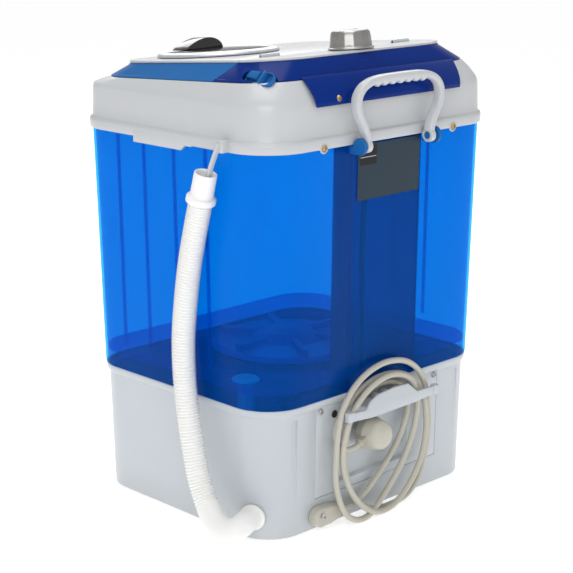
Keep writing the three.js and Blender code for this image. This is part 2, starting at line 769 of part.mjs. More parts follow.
rearScrews("cover_screw", screwPlaces.cover, 4, "steel", (z) => rearAt(z, BASE_STEP) + GAP, 5);
rearScrews("panel_screw", screwPlaces.panel, 4, "brass", () => HY + 1.9, 5);
rearScrews("clamp_screw", [[clampX + 19, clampZ + 3]], 3.4, "steel", () => clampBack + 13.3, 8);
rimTabs.forEach(([x, y]) => {
  const name = "rim_screw_" + (y < 0 ? "front" : "rear") + (x < 0 ? "_left" : "_right");
  const facing = [-Math.sign(y) * Math.PI / 2, 0, 0];
  piece(name, screw(4, 1.5, 6), "brass", [x, y + Math.sign(y) * 3.8, tabZ], facing);
});

// Drain: grille and pipe inside, then the outlet spigot, the hose, its nozzle and its hook
function drainGrille() {
  const slots = [-8, -4, 0, 4, 8].map((x) =>
    box([x - 1, x + 1], [-Math.sqrt(81 - x * x), Math.sqrt(81 - x * x)], [-20, 5]),
  );
  const plug = lathe([[0, -4], [DRAIN.r - 1, -4], [DRAIN.r - 1, GAP], [16, GAP], [14, 2.4], [0, 3]]);
  return cut(plug, ...slots);
}

piece("drain_grille", drainGrille(), "creamWhite", [DRAIN.x, DRAIN.y, TUB_FLOOR]);

const outlet = hoseOutlet(-6);
const pipeRoute = [
  [DRAIN.x, DRAIN.y, TUB_FLOOR - 5],
  [DRAIN.x, DRAIN.y, 120],
  [DRAIN.x - 2, DRAIN.y, 60],
  [outlet[0] - 18, outlet[1] - 14, HOSE_OUT.z + 4],
  [outlet[0] - 9, outlet[1] - 4, HOSE_OUT.z],
];
const drainPipe = cut(tube(pipeRoute, 10, 14, 8), tube(pipeRoute, 8, 14, 8));
piece("drain_pipe", drainPipe, "creamWhite");

const spigot = lathe(
  [[6.5, -4], [10, -4], [10, 7], [15, 7], [15, 9], [11, 9], [11, 22], [6.5, 22], [6.5, -4]],
  24,
  "x",
);
piece("hose_outlet", spigot, "creamWhite", outlet, [0, 0, HOSE_OUT.angle]);

const hoseRoute = [
  [188.4, 125.7, 30], [193.2, 127.8, 30], [198.5, 129.2, 29], [205.5, 127, 26.5],
  [210, 119.5, 25], [211.5, 109, 27], [211, 98, 33], [209.5, 87, 43], [208, 77, 57],
  [206.5, 67, 77], [205, 58, 105], [204.2, 50, 140], [204, 45, 180], [204, 44, 225],
  [204, 49, 270], [204, 57, 315], [204, 66, 350], [204, 75.5, 384],
];
piece("drain_hose", tube(hoseRoute, HOSE_D / 2, 30, 10), "creamWhite");

const nozzleTilt = Math.atan2(9.5, 34);
const nozzle = cut(
  lathe(
    [[0, 0.6], [15, 0.6], [16, 3], [16, 8], [12.5, 9], [12.5, 35], [0, 35]],
    24,
  ),
  rod("z", 9.5, 40, [0, 0, 30], 20),
);
piece("hose_nozzle", nozzle, "creamWhite", hoseRoute.at(-1), [-nozzleTilt, 0, 0]);

const hookRoute = [
  [HX + 11, 101, TUB_TOP + 24], [HX + 14, 98, TUB_TOP + 10], [HX + 17, 91, TUB_TOP - 14],
  [HX + 16.3, 86, TUB_TOP - 29],
];
const hook = join(
  tube(hookRoute, 3, 10, 10),
  rod("x", 5, 6.5, [HX + 8.4, 101, TUB_TOP + 24], 16),
  box([HX + 5, HX + 10], [94, 108], [TUB_TOP + 6, TUB_TOP + 30]),
);
piece("hose_hook", hook, "creamWhite");

// Wash drive: pulsator, shaft, gearbox, pulleys and belt
const BELT_Z = 62;

function pulsator() {
  const disc = lathe(
    [
      [0, 2], [PULSATOR_R - 6, 2], [PULSATOR_R, 6], [PULSATOR_R - 8, 10], [44, 13], [30, 22],
      [16, 27], [0, 28],
    ],
    36,
  );
  const vanes = [];
  for (let i = 0; i < 6; i++) {
    const vane = box([22, PULSATOR_R - 10], [-4, 4], [6, 19]);
    vanes.push(vane.rotate([0, 0, 60 * i]));
  }
  return cut(join(disc, ...vanes), rod("z", 6.4, 30, [0, 0, 0], 16));
}

piece("pulsator", pulsator(), "pulsatorBlue", [0, 0, DISH_FLOOR]);
const shaftFrom = BELT_Z - 6;
const shaftTo = DISH_FLOOR + 14;
piece("pulsator_shaft", rod("z", 6, shaftTo - shaftFrom, [0, 0, 0], 16), "steel", [
  0, 0, (shaftFrom + shaftTo) / 2,
]);
piece(
  "shaft_seal",
  lathe([[6.3, -5], [12.6, -5], [12.6, 1], [6.3, 1], [6.3, -5]], 24),
  "rubber",
  [0, 0, DISH_FLOOR],
);
const gearboxTop = DISH_FLOOR - 4 - GAP;
const gearbox = cut(
  join(
    rod("z", 38, 42, [0, 0, gearboxTop - 25], 28),
    rod("z", 54, 4, [0, 0, gearboxTop - 2], 28),
    rod("z", 16, 16, [0, 0, gearboxTop - 54], 20),
  ),
  rod("z", 6.3, 160, [0, 0, gearboxTop - 40], 16),
  rod("z", 13, 8, [0, 0, gearboxTop], 24),
);
piece("gearbox", gearbox, "motorGrey");

function pulley(radius, bore, height = 14) {
  const h = height / 2;
  const groove = radius - 4.5;
  return lathe(
    [
      [bore, -h], [radius, -h], [radius, -h + 2], [groove, -3], [groove, 3], [radius, h - 2],
      [radius, h], [bore, h], [bore, -h],
    ],
    22,
  );
}

const spokes = [0, 1, 2, 3, 4].map((i) =>
  rod("z", 11, 40, [35, 0, 0], 10).rotate([0, 0, 72 * i]),
);
piece("drive_pulley", cut(pulley(DRIVE_PULLEY_R, 6.15), ...spokes), "pulleyGrey", [0, 0, BELT_Z]);
piece("motor_pulley", pulley(MOTOR_PULLEY_R, 4.2), "pulleyGrey", [MOTOR_X, 0, BELT_Z]);

// The belt lies in both grooves: the outline round both pulleys, less the one inside it
function beltOutline(extra) {
  const [R, r, d] = [DRIVE_PULLEY_R - 4.2 + extra, MOTOR_PULLEY_R - 4.2 + extra, -MOTOR_X];
  const a = Math.acos((R - r) / d);
  const shape = new THREE.Shape();
  shape.absarc(0, 0, R, a - Math.PI, Math.PI - a);
  shape.absarc(MOTOR_X, 0, r, Math.PI - a, Math.PI + a);
  shape.closePath();
  return shape;
}

const belt = cut(
  solid(prism(beltOutline(3.4), 5, 8)),
  solid(prism(beltOutline(0.2), 20, 8)).translate([0, 0, -5]),
);
piece("drive_belt", belt, "rubber", [0, 0, BELT_Z - 2.5]);

const motorBottom = BELT_Z + 24;
const motorHeight = 58;
const stator = join(
  rod("z", 44, motorHeight - 16, [0, 0, motorHeight / 2], 28),
  rod("z", 34, motorHeight, [0, 0, motorHeight / 2], 24),
);
piece("motor_body", cut(stator, rod("z", 4.4, 200, [0, 0, 0], 14)), "motorGrey", [
  MOTOR_X, 0, motorBottom,
]);
piece("motor_shaft", rod("z", 4, 60, [0, 0, 0], 14), "steel", [MOTOR_X, 0, BELT_Z + 22]);
const bracketZ = motorBottom + motorHeight + GAP;
const bracket = cut(
  join(
    box([MOTOR_X - 52, MOTOR_X + 46], [-46, 46], [bracketZ, bracketZ + 3]),
    ...[-38, 38].flatMap((y) =>
      [-44, 38].map((x) => rod("z", 5, gearboxTop - bracketZ, [
        MOTOR_X + x, y, (gearboxTop + bracketZ) / 2,
      ], 14)),
    ),
  ),
  rod("z", 16, 20, [MOTOR_X, 0, bracketZ], 20),
);
piece("motor_bracket", bracket, "steel");
piece(
  "run_capacitor",
  join(rod("z", 17, 56, [0, 0, 28], 24), rod("z", 20, 3, [0, 0, 1.5], 24)),
  "creamWhite",
  [HX - 102, 84 - HY, FOOT_HEIGHT + WALL + GAP],
);

// Wires in the duct, from the base up to the timer
const ductMiddle = HY - DUCT_DEPTH + 6;
piece(
  "duct_cable",
  tube(
    [
      [18, 108, 96], [18, ductMiddle - 4, 128], [16, ductMiddle - 1, 200], [20, ductMiddle, 300],
      [16, ductMiddle, TUB_TOP - 38], [14, ductMiddle, TUB_TOP + 20],
      [8, ductMiddle - 18, TUB_TOP + 48],
      [4, KNOB_Y + 4, TUB_TOP + 58],
    ],
    3.2,
    26,
    8,
  ),
  "black",
);

// Mains cord: a lead from the clamp, three loops hung behind the hanger's arms, and the plug
const coilBack = rearAt(BASE_TOP) + 1.5;
const COIL_THICK = 2 * CORD_D + 1;
const COIL_WIDTH = 32;
const coilOval = (grow) => {
  const shape = new THREE.Shape();
  const [top, low, right, left] = [100 + grow, 90 + grow, 84 + grow, 84 + grow];
  const bow = 0.56;
  shape.moveTo(0, top);
  shape.bezierCurveTo(-left * bow, top, -left, top * bow, -left, 4);
  shape.bezierCurveTo(-left, -low * bow, -left * bow * 0.6, -low, 0, -low);
  shape.bezierCurveTo(right * bow * 0.6, -low, right, -low * bow, right, 4);
  shape.bezierCurveTo(right, top * bow, right * bow, top, 0, top);
  return shape;
};
const coilAt = [0, coilBack, 92];
const cordCoil = cut(
  solid(prism(coilOval(0), COIL_THICK, 8)),
  solid(prism(coilOval(-COIL_WIDTH), 60, 8)).translate([0, 0, -20]),
).rotate([90, 0, 0]).translate([0, COIL_THICK, 0]);
piece("power_cord_coil", cordCoil, "creamWhite", coilAt);

const leadRoute = [
  [clampX - 21.4, clampBack + 6.5, clampZ], [clampX - 26, clampBack + 7.5, clampZ - 0.4],
  [clampX - 31, clampBack + 10, clampZ - 1],
];
piece("power_cord_lead", cut(tube(leadRoute, CORD_D / 2, 6), coilZone()), "creamWhite");

function coilZone() {
  const grown = cut(
    solid(prism(coilOval(GAP), COIL_THICK + 2 * GAP, 8)),
    solid(prism(coilOval(-COIL_WIDTH - GAP), 60, 8)).translate([0, 0, -20]),
  );
  return grown.rotate([90, 0, 0]).translate([coilAt[0], coilAt[1] + COIL_THICK + GAP, coilAt[2]]);
}

// The plug is parked with its pins in two holes of the service cover
const plugBack = rearAt(PLUG.z, BASE_STEP) + 1.2;

function powerPlug() {
  const body = lathe(
    [[0, 0], [17, 0], [PLUG.r, 3], [PLUG.r, 17], [15, 29], [9, 34], [0, 35]],
    24,
    "y",
  );
  const neck = rod("x", 8.5, 27, [13.5, 0, 0], 16, 5.5).rotate([0, 37, 0]).translate([0, 12, 0]);
  const pins = pinX.map((x) => rod("y", 2.4, 24, [x - PLUG.x, -6, 0], 12));
  return cut(
    join(body, neck, ...pins),
    coilZone().translate([-PLUG.x, -plugBack, -PLUG.z]),
  );
}

piece("power_plug", powerPlug(), "creamWhite", [PLUG.x, plugBack, PLUG.z]);

export default washer;
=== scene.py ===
"""A mini washing machine with one translucent tub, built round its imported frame.

Lengths are metres, +Z up, the front at -Y and the user's right at +X.
"""

import math

import bmesh
import bpy
from bpy.props import FloatProperty, FloatVectorProperty, IntProperty, PointerProperty
from mathutils import Matrix, Vector


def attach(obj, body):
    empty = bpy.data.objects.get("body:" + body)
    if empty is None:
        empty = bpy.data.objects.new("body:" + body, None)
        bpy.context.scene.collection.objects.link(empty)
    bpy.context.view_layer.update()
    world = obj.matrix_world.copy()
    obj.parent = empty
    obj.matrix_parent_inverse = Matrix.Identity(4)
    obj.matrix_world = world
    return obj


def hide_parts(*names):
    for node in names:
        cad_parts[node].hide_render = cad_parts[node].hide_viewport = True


bl_info = {
    "name": "Mini washing machine",
    "version": (1, 0, 0),
    "blender": (4, 5, 0),
    "location": "3D View > Sidebar > Washer",
    "description": "Builds a single tub mini washing machine with hose and mains cord",
    "category": "Add Mesh",
}

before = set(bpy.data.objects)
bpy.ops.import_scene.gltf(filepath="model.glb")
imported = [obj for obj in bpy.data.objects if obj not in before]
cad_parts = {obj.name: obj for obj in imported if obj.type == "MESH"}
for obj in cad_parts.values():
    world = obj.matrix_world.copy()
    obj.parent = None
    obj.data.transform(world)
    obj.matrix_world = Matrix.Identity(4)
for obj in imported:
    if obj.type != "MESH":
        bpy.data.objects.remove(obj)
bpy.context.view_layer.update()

MM = 0.001

# The casing, as the frame has it
HALF_X = 0.188
HALF_Y = 0.160
CORNER = 0.051
TUB_TOP = 0.438
TAPER = 0.0175
BASE_STEP = 0.004
CAP_TOP = 0.490
TOP_HEIGHT = 0.5246
TOP_SLOPE = 0.0865
DECK_SLOPE = 0.059
DECK_DROP = 0.0201
DECK_INSET = 0.016
TILT = math.atan(TOP_SLOPE)
SEAM = Vector((0, 0.080, 0.53152))
SEAM_NORMAL = Vector((0, -1, 0.79)).normalized()
KNOB = Vector((0.008, 0.109, 0.5340285))
WINDOW = Vector((0.060, -0.052, 0.520102))
HINGE = Vector((0, 0.0805, 0.53232))
PIVOT = Vector((0, 0.174, 0.439))
INLET = Matrix.Translation((0.161, 0.118, 0.520)) @ Matrix.Rotation(math.radians(44), 4, "Y")

# The white top of the lid and panel: how far in it stands, and its corners
PLATE_IN_X = 0.038
PLATE_IN_Y = 0.029
PLATE_CORNER = 0.042
PLATE_REAR_CORNER = 0.057
KNUCKLE_X = 0.106
SEAM_GAP = 0.0003

# The camera, and each lamp's name, place, size and power
LENS = 100.7
CAMERA_AT = (1.3115, 1.3306, 0.7292)
CAMERA_LOOK = Vector((-0.680, -0.688, -0.253))
LAMPS = (
    ("front", (1.15, 1.05, 1.05), 0.8, 7),
    ("top", (0.2, 0.1, 2.2), 1.2, 14),
    ("back", (-1.6, -1.8, 2.2), 2.0, 36),
)
LAMP_AIM = Vector((0, 0, 0.3))
SKY_STRENGTH = 0.50


def top_at(y):
    return TOP_HEIGHT + TOP_SLOPE * y


def deck_at(y):
    return TOP_HEIGHT - DECK_DROP + DECK_SLOPE * y


def lean_in(z):
    return max(TAPER * (TUB_TOP - z), 0)


def rear_at(z, inset=0.0):
    return HALF_Y - lean_in(z) - inset


# ---------------------------------------------------------------------------
# Sizes and colours


class WasherSizes(bpy.types.PropertyGroup):
    corner_segments: IntProperty(
        name="Corner segments", description="Smoothness of the casing's corners", default=14, min=4
    )
    tub_wall: FloatProperty(
        name="Tub wall", description="Thickness of the tub", default=0.003, unit="LENGTH"
    )
    hose_diameter: FloatProperty(
        name="Hose diameter", description="Outside of the drain hose", default=0.028, unit="LENGTH"
    )
    hose_pitch: FloatProperty(
        name="Hose pitch", description="From one rib of the hose to the next", default=0.0036,
        unit="LENGTH",
    )
    cord_diameter: FloatProperty(
        name="Cord diameter", description="Mains cord", default=0.007, unit="LENGTH"
    )
    knob_radius: FloatProperty(
        name="Knob radius", description="Timer knob at its foot", default=0.0235, unit="LENGTH"
    )


def colour(name, text, value):
    return FloatVectorProperty(
        name=name, description=text, default=value, size=3, subtype="COLOR", min=0, max=1
    )


class WasherColours(bpy.types.PropertyGroup):
    base: colour("Base", "Base housing and service cover", (0.50, 0.535, 0.565))
    cap: colour("Cap", "Top frame, lid top and handle", (0.52, 0.535, 0.55))
    cream: colour("Cream", "Hose, nozzle and hook", (0.86, 0.86, 0.84))
    cord: colour("Cord", "Mains cord, clamp and plug", (0.50, 0.48, 0.41))
    tub: colour("Tub", "Blue of the translucent tub", (0.0, 0.14, 0.58))
    tint: colour("Tint", "Light that the tub lets through", (0.02, 0.68, 0.96))
    lid: colour("Lid", "Sloping sides of the lid", (0.015, 0.125, 0.37))
    panel: colour("Panel", "Control panel", (0.001, 0.022, 0.185))
    silver: colour("Silver", "Window ring and knob", (0.42, 0.41, 0.40))
    label: colour("Label", "Rating label", (0.012, 0.032, 0.052))


# ---------------------------------------------------------------------------
# Shader maths


class Value:
    """A socket that takes part in sums, adding its Math nodes as it goes."""

    def __init__(self, paint, socket):
        self.paint = paint
        self.socket = socket

    def maths(self, operation, *values):
        return self.paint.node(
            "ShaderNodeMath", dict(enumerate(values)), operation=operation
        )

    def __add__(self, other):
        return self.maths("ADD", self, other)

    def __sub__(self, other):
        return self.maths("SUBTRACT", self, other)

    def __mul__(self, other):
        return self.maths("MULTIPLY", self, other)

    def __radd__(self, other):
        return self.maths("ADD", other, self)

    def __rsub__(self, other):
        return self.maths("SUBTRACT", other, self)

    def __rmul__(self, other):
        return self.maths("MULTIPLY", other, self)

    def over(self, edge, width=0.0005):
        """0 below the edge and 1 above it, with a soft step."""
        low, high = edge - width, edge + width
        return self.paint.node(
            "ShaderNodeMapRange", {"Value": self, "From Min": low, "From Max": high}
        )

    def between(self, low, high, width=0.0005):
        return self.over(low, width) * (1 - self.over(high, width))


class Paint:
    """A material being made."""

    def __init__(self, name):
        self.material = bpy.data.materials.new(name)
        self.material.use_nodes = True
        self.tree = self.material.node_tree
        self.tree.nodes.clear()
        self.output = self.tree.nodes.new("ShaderNodeOutputMaterial")

    def node(self, kind, inputs=(), out=0, **settings):
        """A node of a kind: its settings first, then the values or links of its inputs."""
        made = self.tree.nodes.new(kind)
        for key, value in settings.items():
            setattr(made, key, value)
        for key, value in dict(inputs).items():
            socket = made.inputs[key]
            if isinstance(value, Value):
                self.tree.links.new(value.socket, socket)
            elif hasattr(socket.default_value, "__len__") and len(value) == 3:
                whole = (*value, 1) if len(socket.default_value) == 4 else value
                socket.default_value = whole
            else:
                socket.default_value = value
        return Value(self, made.outputs[out])

    def place(self, scale=(1, 1, 1), turn=(0, 0, 0)):
        point = self.node("ShaderNodeTexCoord", out="Object")
        return self.node(
            "ShaderNodeMapping",
            {"Vector": point, "Scale": scale, "Rotation": turn},
        )

    def axes(self):
        point = self.node("ShaderNodeTexCoord", out="Object")
        split = self.node("ShaderNodeSeparateXYZ", {0: point})
        return [Value(self, split.socket.node.outputs[i]) for i in range(3)]

    def noise(self, scale, detail, at=None):
        return self.node(
            "ShaderNodeTexNoise",
            {
                "Vector": at or self.place(),
                "Scale": scale,
                "Detail": detail,
                "Roughness": 0.55,
            },
        )

    def specks(self, scale):
        return self.node(
            "ShaderNodeTexVoronoi", {"Vector": self.place(), "Scale": scale}, out="Distance"
        )

    def mix(self, amount, one, other):
        return self.node(
            "ShaderNodeMix", {0: amount, 6: one, 7: other}, out=2, data_type="RGBA"
        )

    def bump(self, height, strength, distance):
        return self.node(
            "ShaderNodeBump", {"Height": height, "Strength": strength, "Distance": distance}
        )

    def principled(self, **inputs):
        named = {key.replace("_", " "): value for key, value in inputs.items()}
        return self.node("ShaderNodeBsdfPrincipled", named)

    def done(self, shader):
        self.tree.links.new(shader.socket, self.output.inputs["Surface"])
        return self.material


DUST = (0.42, 0.39, 0.33)


def shade(rgb, factor):
    return tuple(min(1.0, c * factor) for c in rgb)


def moulded(name, rgb, rough, grain=0.1, coat=0.0, dust=0.25, subsurface=0.0):
    """Moulded plastic: faint flow marks, a fine grain, handling marks and a little dust."""
    paint = Paint(name)
    flow = paint.noise(9, 4)
    marks = paint.noise(55, 5, paint.place(scale=(1, 1, 0.35)))
    fine = paint.noise(1400, 2)
    _, _, up = paint.axes()
    low = 1 - up.over(0.02, 0.018)
    dirt = low * paint.noise(38, 5) * dust
    tone = paint.mix(flow, shade(rgb, 0.965), shade(rgb, 1.03))
    tone = paint.mix(dirt, tone, DUST)
    worn = marks.over(0.62, 0.1) * 0.12
    rough_value = rough + worn + (flow - 0.5) * 0.08 + dirt * 0.3
    height = fine * grain + flow * 0.6
    return paint.done(
        paint.principled(
            Base_Color=tone,
            Roughness=rough_value,
            Normal=paint.bump(height, 0.16, 0.0004),
            Coat_Weight=coat,
            Coat_Roughness=0.12,
            Subsurface_Weight=subsurface,
            Subsurface_Radius=(0.004, 0.004, 0.005),
        )
    )


def glossy_blue(name, rgb):
    """Deep blue gloss plastic with wipe marks and fine scratches."""
    paint = Paint(name)
    flow = paint.noise(7, 3)
    scratch = paint.noise(260, 2, paint.place(scale=(0.06, 1, 1), turn=(0, 0, 0.5)))
    wipe = paint.noise(24, 4, paint.place(scale=(0.3, 1, 1)))
    tone = paint.mix(flow, shade(rgb, 0.85), shade(rgb, 1.15))
    lines = scratch.over(0.7, 0.05)
    return paint.done(
        paint.principled(
            Base_Color=tone,
            Roughness=0.16 + wipe * 0.10 + lines * 0.12,
            Normal=paint.bump(flow * 0.8 + lines * 0.1, 0.12, 0.0004),
            Specular_IOR_Level=0.1,
            Coat_Weight=0.04,
            Coat_Roughness=0.06,
        )
    )


def clear_tub(name, body, tint, share):
    """Translucent blue plastic: part of the light goes straight through, tinted."""
    paint = Paint(name)
    flow = paint.noise(6, 3, paint.place(scale=(1, 1, 0.3)))
    haze = paint.noise(40, 4, paint.place(scale=(1, 1, 0.25)))
    drops = 1 - paint.specks(120).over(0.10, 0.02)
    spots = drops * paint.noise(14, 2).over(0.62, 0.03)
    tone = paint.mix(flow, shade(body, 0.85), shade(body, 1.1))
    glossy = paint.principled(
        Base_Color=tone,
        Roughness=0.12 + haze * 0.12 + spots * 0.1,
        Normal=paint.bump(flow * 1.2 + spots * 0.5, 0.15, 0.0006),
        Specular_IOR_Level=0.18,
        Coat_Weight=0.05,
        Coat_Roughness=0.05,
    )
    through = paint.node("ShaderNodeBsdfTransparent", {"Color": tint})
    cloud = share + (haze - 0.5) * 0.06 + spots * 0.1
    return paint.done(paint.node("ShaderNodeMixShader", {0: cloud, 1: through, 2: glossy}))


def smoky_pane(name):
    paint = Paint(name)
    wipe = paint.noise(30, 4)
    glossy = paint.principled(
        Base_Color=(0.012, 0.013, 0.015), Roughness=0.06 + wipe * 0.1, Coat_Weight=0.4
    )
    through = paint.node("ShaderNodeBsdfTransparent", {"Color": (0.2, 0.21, 0.23)})
    return paint.done(
        paint.node("ShaderNodeMixShader", {0: 0.72 + wipe * 0.1, 1: through, 2: glossy})
    )


def metal(name, rgb, rough, brush, metallic=1.0):
    """Bare metal with brush lines and a few stains."""
    paint = Paint(name)
    lines = paint.noise(90, 3, paint.place(scale=brush))
    stain = paint.noise(60, 5)
    tone = paint.mix(lines, shade(rgb, 0.78), shade(rgb, 1.12))
    tone = paint.mix(stain.over(0.66, 0.08) * 0.3, tone, shade(rgb, 0.45))
    return paint.done(
        paint.principled(
            Base_Color=tone,
            Metallic=metallic,
            Roughness=rough + lines * 0.16 + stain * 0.06,
            Normal=paint.bump(lines, 0.12, 0.0002),
        )
    )


def rubbery(name, rgb, rough=0.75):
    paint = Paint(name)
    fine = paint.noise(900, 3)
    bloom = paint.noise(45, 5)
    tone = paint.mix(bloom.over(0.55, 0.15) * 0.35, rgb, shade(rgb, 1.7))
    return paint.done(
        paint.principled(
            Base_Color=tone,
            Roughness=rough + bloom * 0.1,
            Normal=paint.bump(fine, 0.25, 0.0003),
        )
    )


def label_film(name, rgb):
    """Printed film: one dark block, thin rules and bars, with no lettering."""
    paint = Paint(name)
    x, _, z = paint.axes()
    block = x.between(0.020, 0.0475, 0.0002) * z.between(0.4145, 0.4365, 0.0002)
    rule = x.between(0.021, 0.046, 0.0002) * z.between(0.4228, 0.4236, 0.0002)
    rows = paint.node(
        "ShaderNodeTexWave", {"Vector": paint.place(), "Scale": 36.0}, wave_type="BANDS",
        bands_direction="Z",
    )
    ragged = paint.noise(1, 0, paint.place(scale=(0, 0, 210)))
    bars = rows.over(0.62, 0.1) * (1 - x.over(0.0, 0.0002)) * (x + ragged * 0.03).over(-0.02)
    bars = bars * z.between(0.379, 0.428, 0.0002)
    small = x.between(0.012, 0.046, 0.0002) * z.between(0.4085, 0.4098, 0.0002)
    printed = bars * 0.8 + small * 0.6
    ink = printed.maths("MINIMUM", printed, 1.0)
    scuff = paint.noise(80, 4)
    film = paint.mix(scuff, shade(rgb, 0.9), shade(rgb, 1.1))
    tone = paint.mix(ink, film, (0.02, 0.03, 0.04))
    tone = paint.mix(block, tone, (0.006, 0.006, 0.007))
    tone = paint.mix(rule * block, tone, (0.5, 0.52, 0.53))
    return paint.done(
        paint.principled(
            Base_Color=tone,
            Roughness=0.32 + scuff * 0.18,
            Specular_IOR_Level=0.25,
            Normal=paint.bump(scuff * 0.5 + ink * 0.3, 0.1, 0.0001),
        )
    )


def studio_floor(name):
    paint = Paint(name)
    faint = paint.noise(3, 3)
    tone = paint.mix(faint, (0.955, 0.955, 0.96), (0.985, 0.985, 0.99))
    return paint.done(
        paint.principled(
            Base_Color=tone,
            Roughness=0.75 + faint * 0.1,
            Specular_IOR_Level=0.1,
            Emission_Color=(1, 1, 1),
            Emission_Strength=0.5,
        )
    )


def make_finishes(colours):
    cap = tuple(colours.cap)
    cream = tuple(colours.cream)
    cord = tuple(colours.cord)
    tub = tuple(colours.tub)
    tint = tuple(colours.tint)
    silver = tuple(colours.silver)
    return {
        "base_white": moulded("Base white", tuple(colours.base), 0.36, coat=0.12, subsurface=0.05),
        "cap_white": moulded("Cap white", cap, 0.32, coat=0.15, subsurface=0.05),
        "cream": moulded("Cream plastic", cream, 0.4, subsurface=0.1),
        "hose": moulded("Hose", cream, 0.42, grain=0.05, subsurface=0.15),
        "cord": moulded("Cord vinyl", cord, 0.42, grain=0.05, dust=0.4),
        "tub": clear_tub("Tub blue", tub, tint, 0.2),
        "tub_inner": clear_tub("Tub floor blue", tub, tint, 0.24),
        "duct_blue": clear_tub("Duct blue", shade(tub, 0.25), shade(tint, 0.7), 0.45),
        "lid_blue": glossy_blue("Lid blue", tuple(colours.lid)),
        "panel_blue": glossy_blue("Panel blue", tuple(colours.panel)),
        "plate_blue": glossy_blue("Wash plate blue", (0.03, 0.16, 0.55)),
        "silver": metal("Brushed silver", silver, 0.26, brush=(30, 30, 0.6)),
        "ring_silver": metal(
            "Window ring silver", (0.66, 0.68, 0.71), 0.28, brush=(3, 3, 3), metallic=0.6
        ),
        "smoky": smoky_pane("Smoky pane"),
        # Gloss black: the timer body's own colour, and painted shade on the lid grip, where the
        # black stands in for the shaded inside of a scoop
        "black": moulded("Gloss black and painted shade", (0.01, 0.01, 0.011), 0.16, coat=0.5, dust=0),
        "rubber": rubbery("Rubber", (0.025, 0.025, 0.027)),
        "cable": rubbery("Cable black", (0.012, 0.012, 0.014), 0.45),
        "steel": metal("Zinc steel", (0.50, 0.50, 0.49), 0.28, brush=(20, 1, 1)),
        "brass": metal("Brass", (0.55, 0.40, 0.19), 0.3, brush=(20, 1, 1)),
        "casting": metal("Cast housing", (0.20, 0.22, 0.23), 0.5, brush=(6, 6, 6), metallic=0.7),
        "pulley": moulded("Pulley grey", (0.07, 0.08, 0.09), 0.45),
        "label": label_film("Label film", tuple(colours.label)),
        "floor": studio_floor("Studio floor"),
    }


FINISHES = {}


# ---------------------------------------------------------------------------
# Making pieces


def face_out(bm, facing=None):
    """Turns the faces outwards, or an open sheet's faces the way given."""
    bmesh.ops.recalc_face_normals(bm, faces=bm.faces)
    middle = sum((f.calc_center_median() for f in bm.faces), Vector()) / len(bm.faces)
    total = 0.0
    for f in bm.faces:
        away = Vector(facing) if facing else f.calc_center_median() - middle
        total += f.normal.dot(away) * f.calc_area()
    if total < 0:
        bmesh.ops.reverse_faces(bm, faces=bm.faces)


def commit(bm, name, finish, body="machine", stands_for=(), sharp=35.0, facing=None):
    """Turns a bmesh into a finished piece that rides on a body."""
    bmesh.ops.remove_doubles(bm, verts=bm.verts, dist=1e-6)
    face_out(bm, facing)
    mesh = bpy.data.meshes.new(name)
    bm.to_mesh(mesh)
    bm.free()
    obj = bpy.data.objects.new(name, mesh)
    bpy.context.scene.collection.objects.link(obj)
    for polygon in mesh.polygons:
        polygon.use_smooth = True
    mesh.set_sharp_from_angle(angle=math.radians(sharp))
    mesh.materials.append(FINISHES[finish])
    if body:
        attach(obj, body)
    if stands_for:
        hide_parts(*stands_for)
    return obj


def apply_modifiers(obj, sharp=35.0):
    """Puts what the modifiers make into the mesh itself."""
    graph = bpy.context.evaluated_depsgraph_get()
    made = bpy.data.meshes.new_from_object(obj.evaluated_get(graph))
    obj.modifiers.clear()
    obj.data = made
    for polygon in made.polygons:
        polygon.use_smooth = True
    made.set_sharp_from_angle(angle=math.radians(sharp))


def add_wall(obj, thickness, offset=-1.0):
    """Gives a skin its wall: inwards at offset -1, outwards at 1, both ways at 0."""
    wall = obj.modifiers.new("Wall", "SOLIDIFY")
    wall.thickness = thickness
    wall.offset = offset
    return wall


def thicken(obj, thickness, edge, sharp):
    """Gives a casing an even wall, inwards, and rounds the wall's edges."""
    add_wall(obj, thickness).use_even_offset = True
    soften(obj, edge, sharp)


def soften(obj, width, sharp, segments=2):
    rounding = obj.modifiers.new("Rounded edges", "BEVEL")
    rounding.width = width
    rounding.segments = segments
    rounding.limit_method = "ANGLE"
    rounding.angle_limit = math.radians(sharp)
    rounding.harden_normals = False
    apply_modifiers(obj, sharp)


def carve(obj, cutter, sharp=35.0):
    """Takes a cutter's shape out of a closed piece."""
    bmesh.ops.recalc_face_normals(cutter, faces=cutter.faces)
    mesh = bpy.data.meshes.new("cutter")
    cutter.to_mesh(mesh)
    cutter.free()
    tool = bpy.data.objects.new("cutter", mesh)
    bpy.context.scene.collection.objects.link(tool)
    cut = obj.modifiers.new("Cut", "BOOLEAN")
    cut.object = tool
    cut.operation = "DIFFERENCE"
    cut.solver = "MANIFOLD"
    apply_modifiers(obj, sharp)
    bpy.data.objects.remove(tool)
    bpy.data.meshes.remove(mesh)


def level(z, inset=0.0, corner=None):
    """One outline of the casing: half sizes, corner radii and a height that may vary along Y."""
    height = z if callable(z) else (lambda y: z)
    lean = lean_in(height(0))
    r = CORNER - inset if corner is None else corner
    return {
        "z": height, "hx": HALF_X - lean - inset, "hy": HALF_Y - lean - inset, "r": r, "rear": r
    }


def rounded_quad(bm, hx, hy, radius, segments, place=None):
    """A flat rectangle with rounded corners. place moves its four corners before they are cut."""
    quad = bmesh.ops.create_grid(bm, x_segments=1, y_segments=1, size=1)["verts"]
    for v in quad:
        v.co = Vector((v.co.x * hx, v.co.y * hy, 0))
        if place:
            v.co = place(v.co)
    made = bmesh.ops.bevel(
        bm, geom=quad, offset=radius, offset_type="OFFSET", affect="VERTICES",
        segments=segments, profile=0.5, material=-1,
    )
    return max({f for v in made["verts"] for f in v.link_faces}, key=lambda f: f.calc_area())


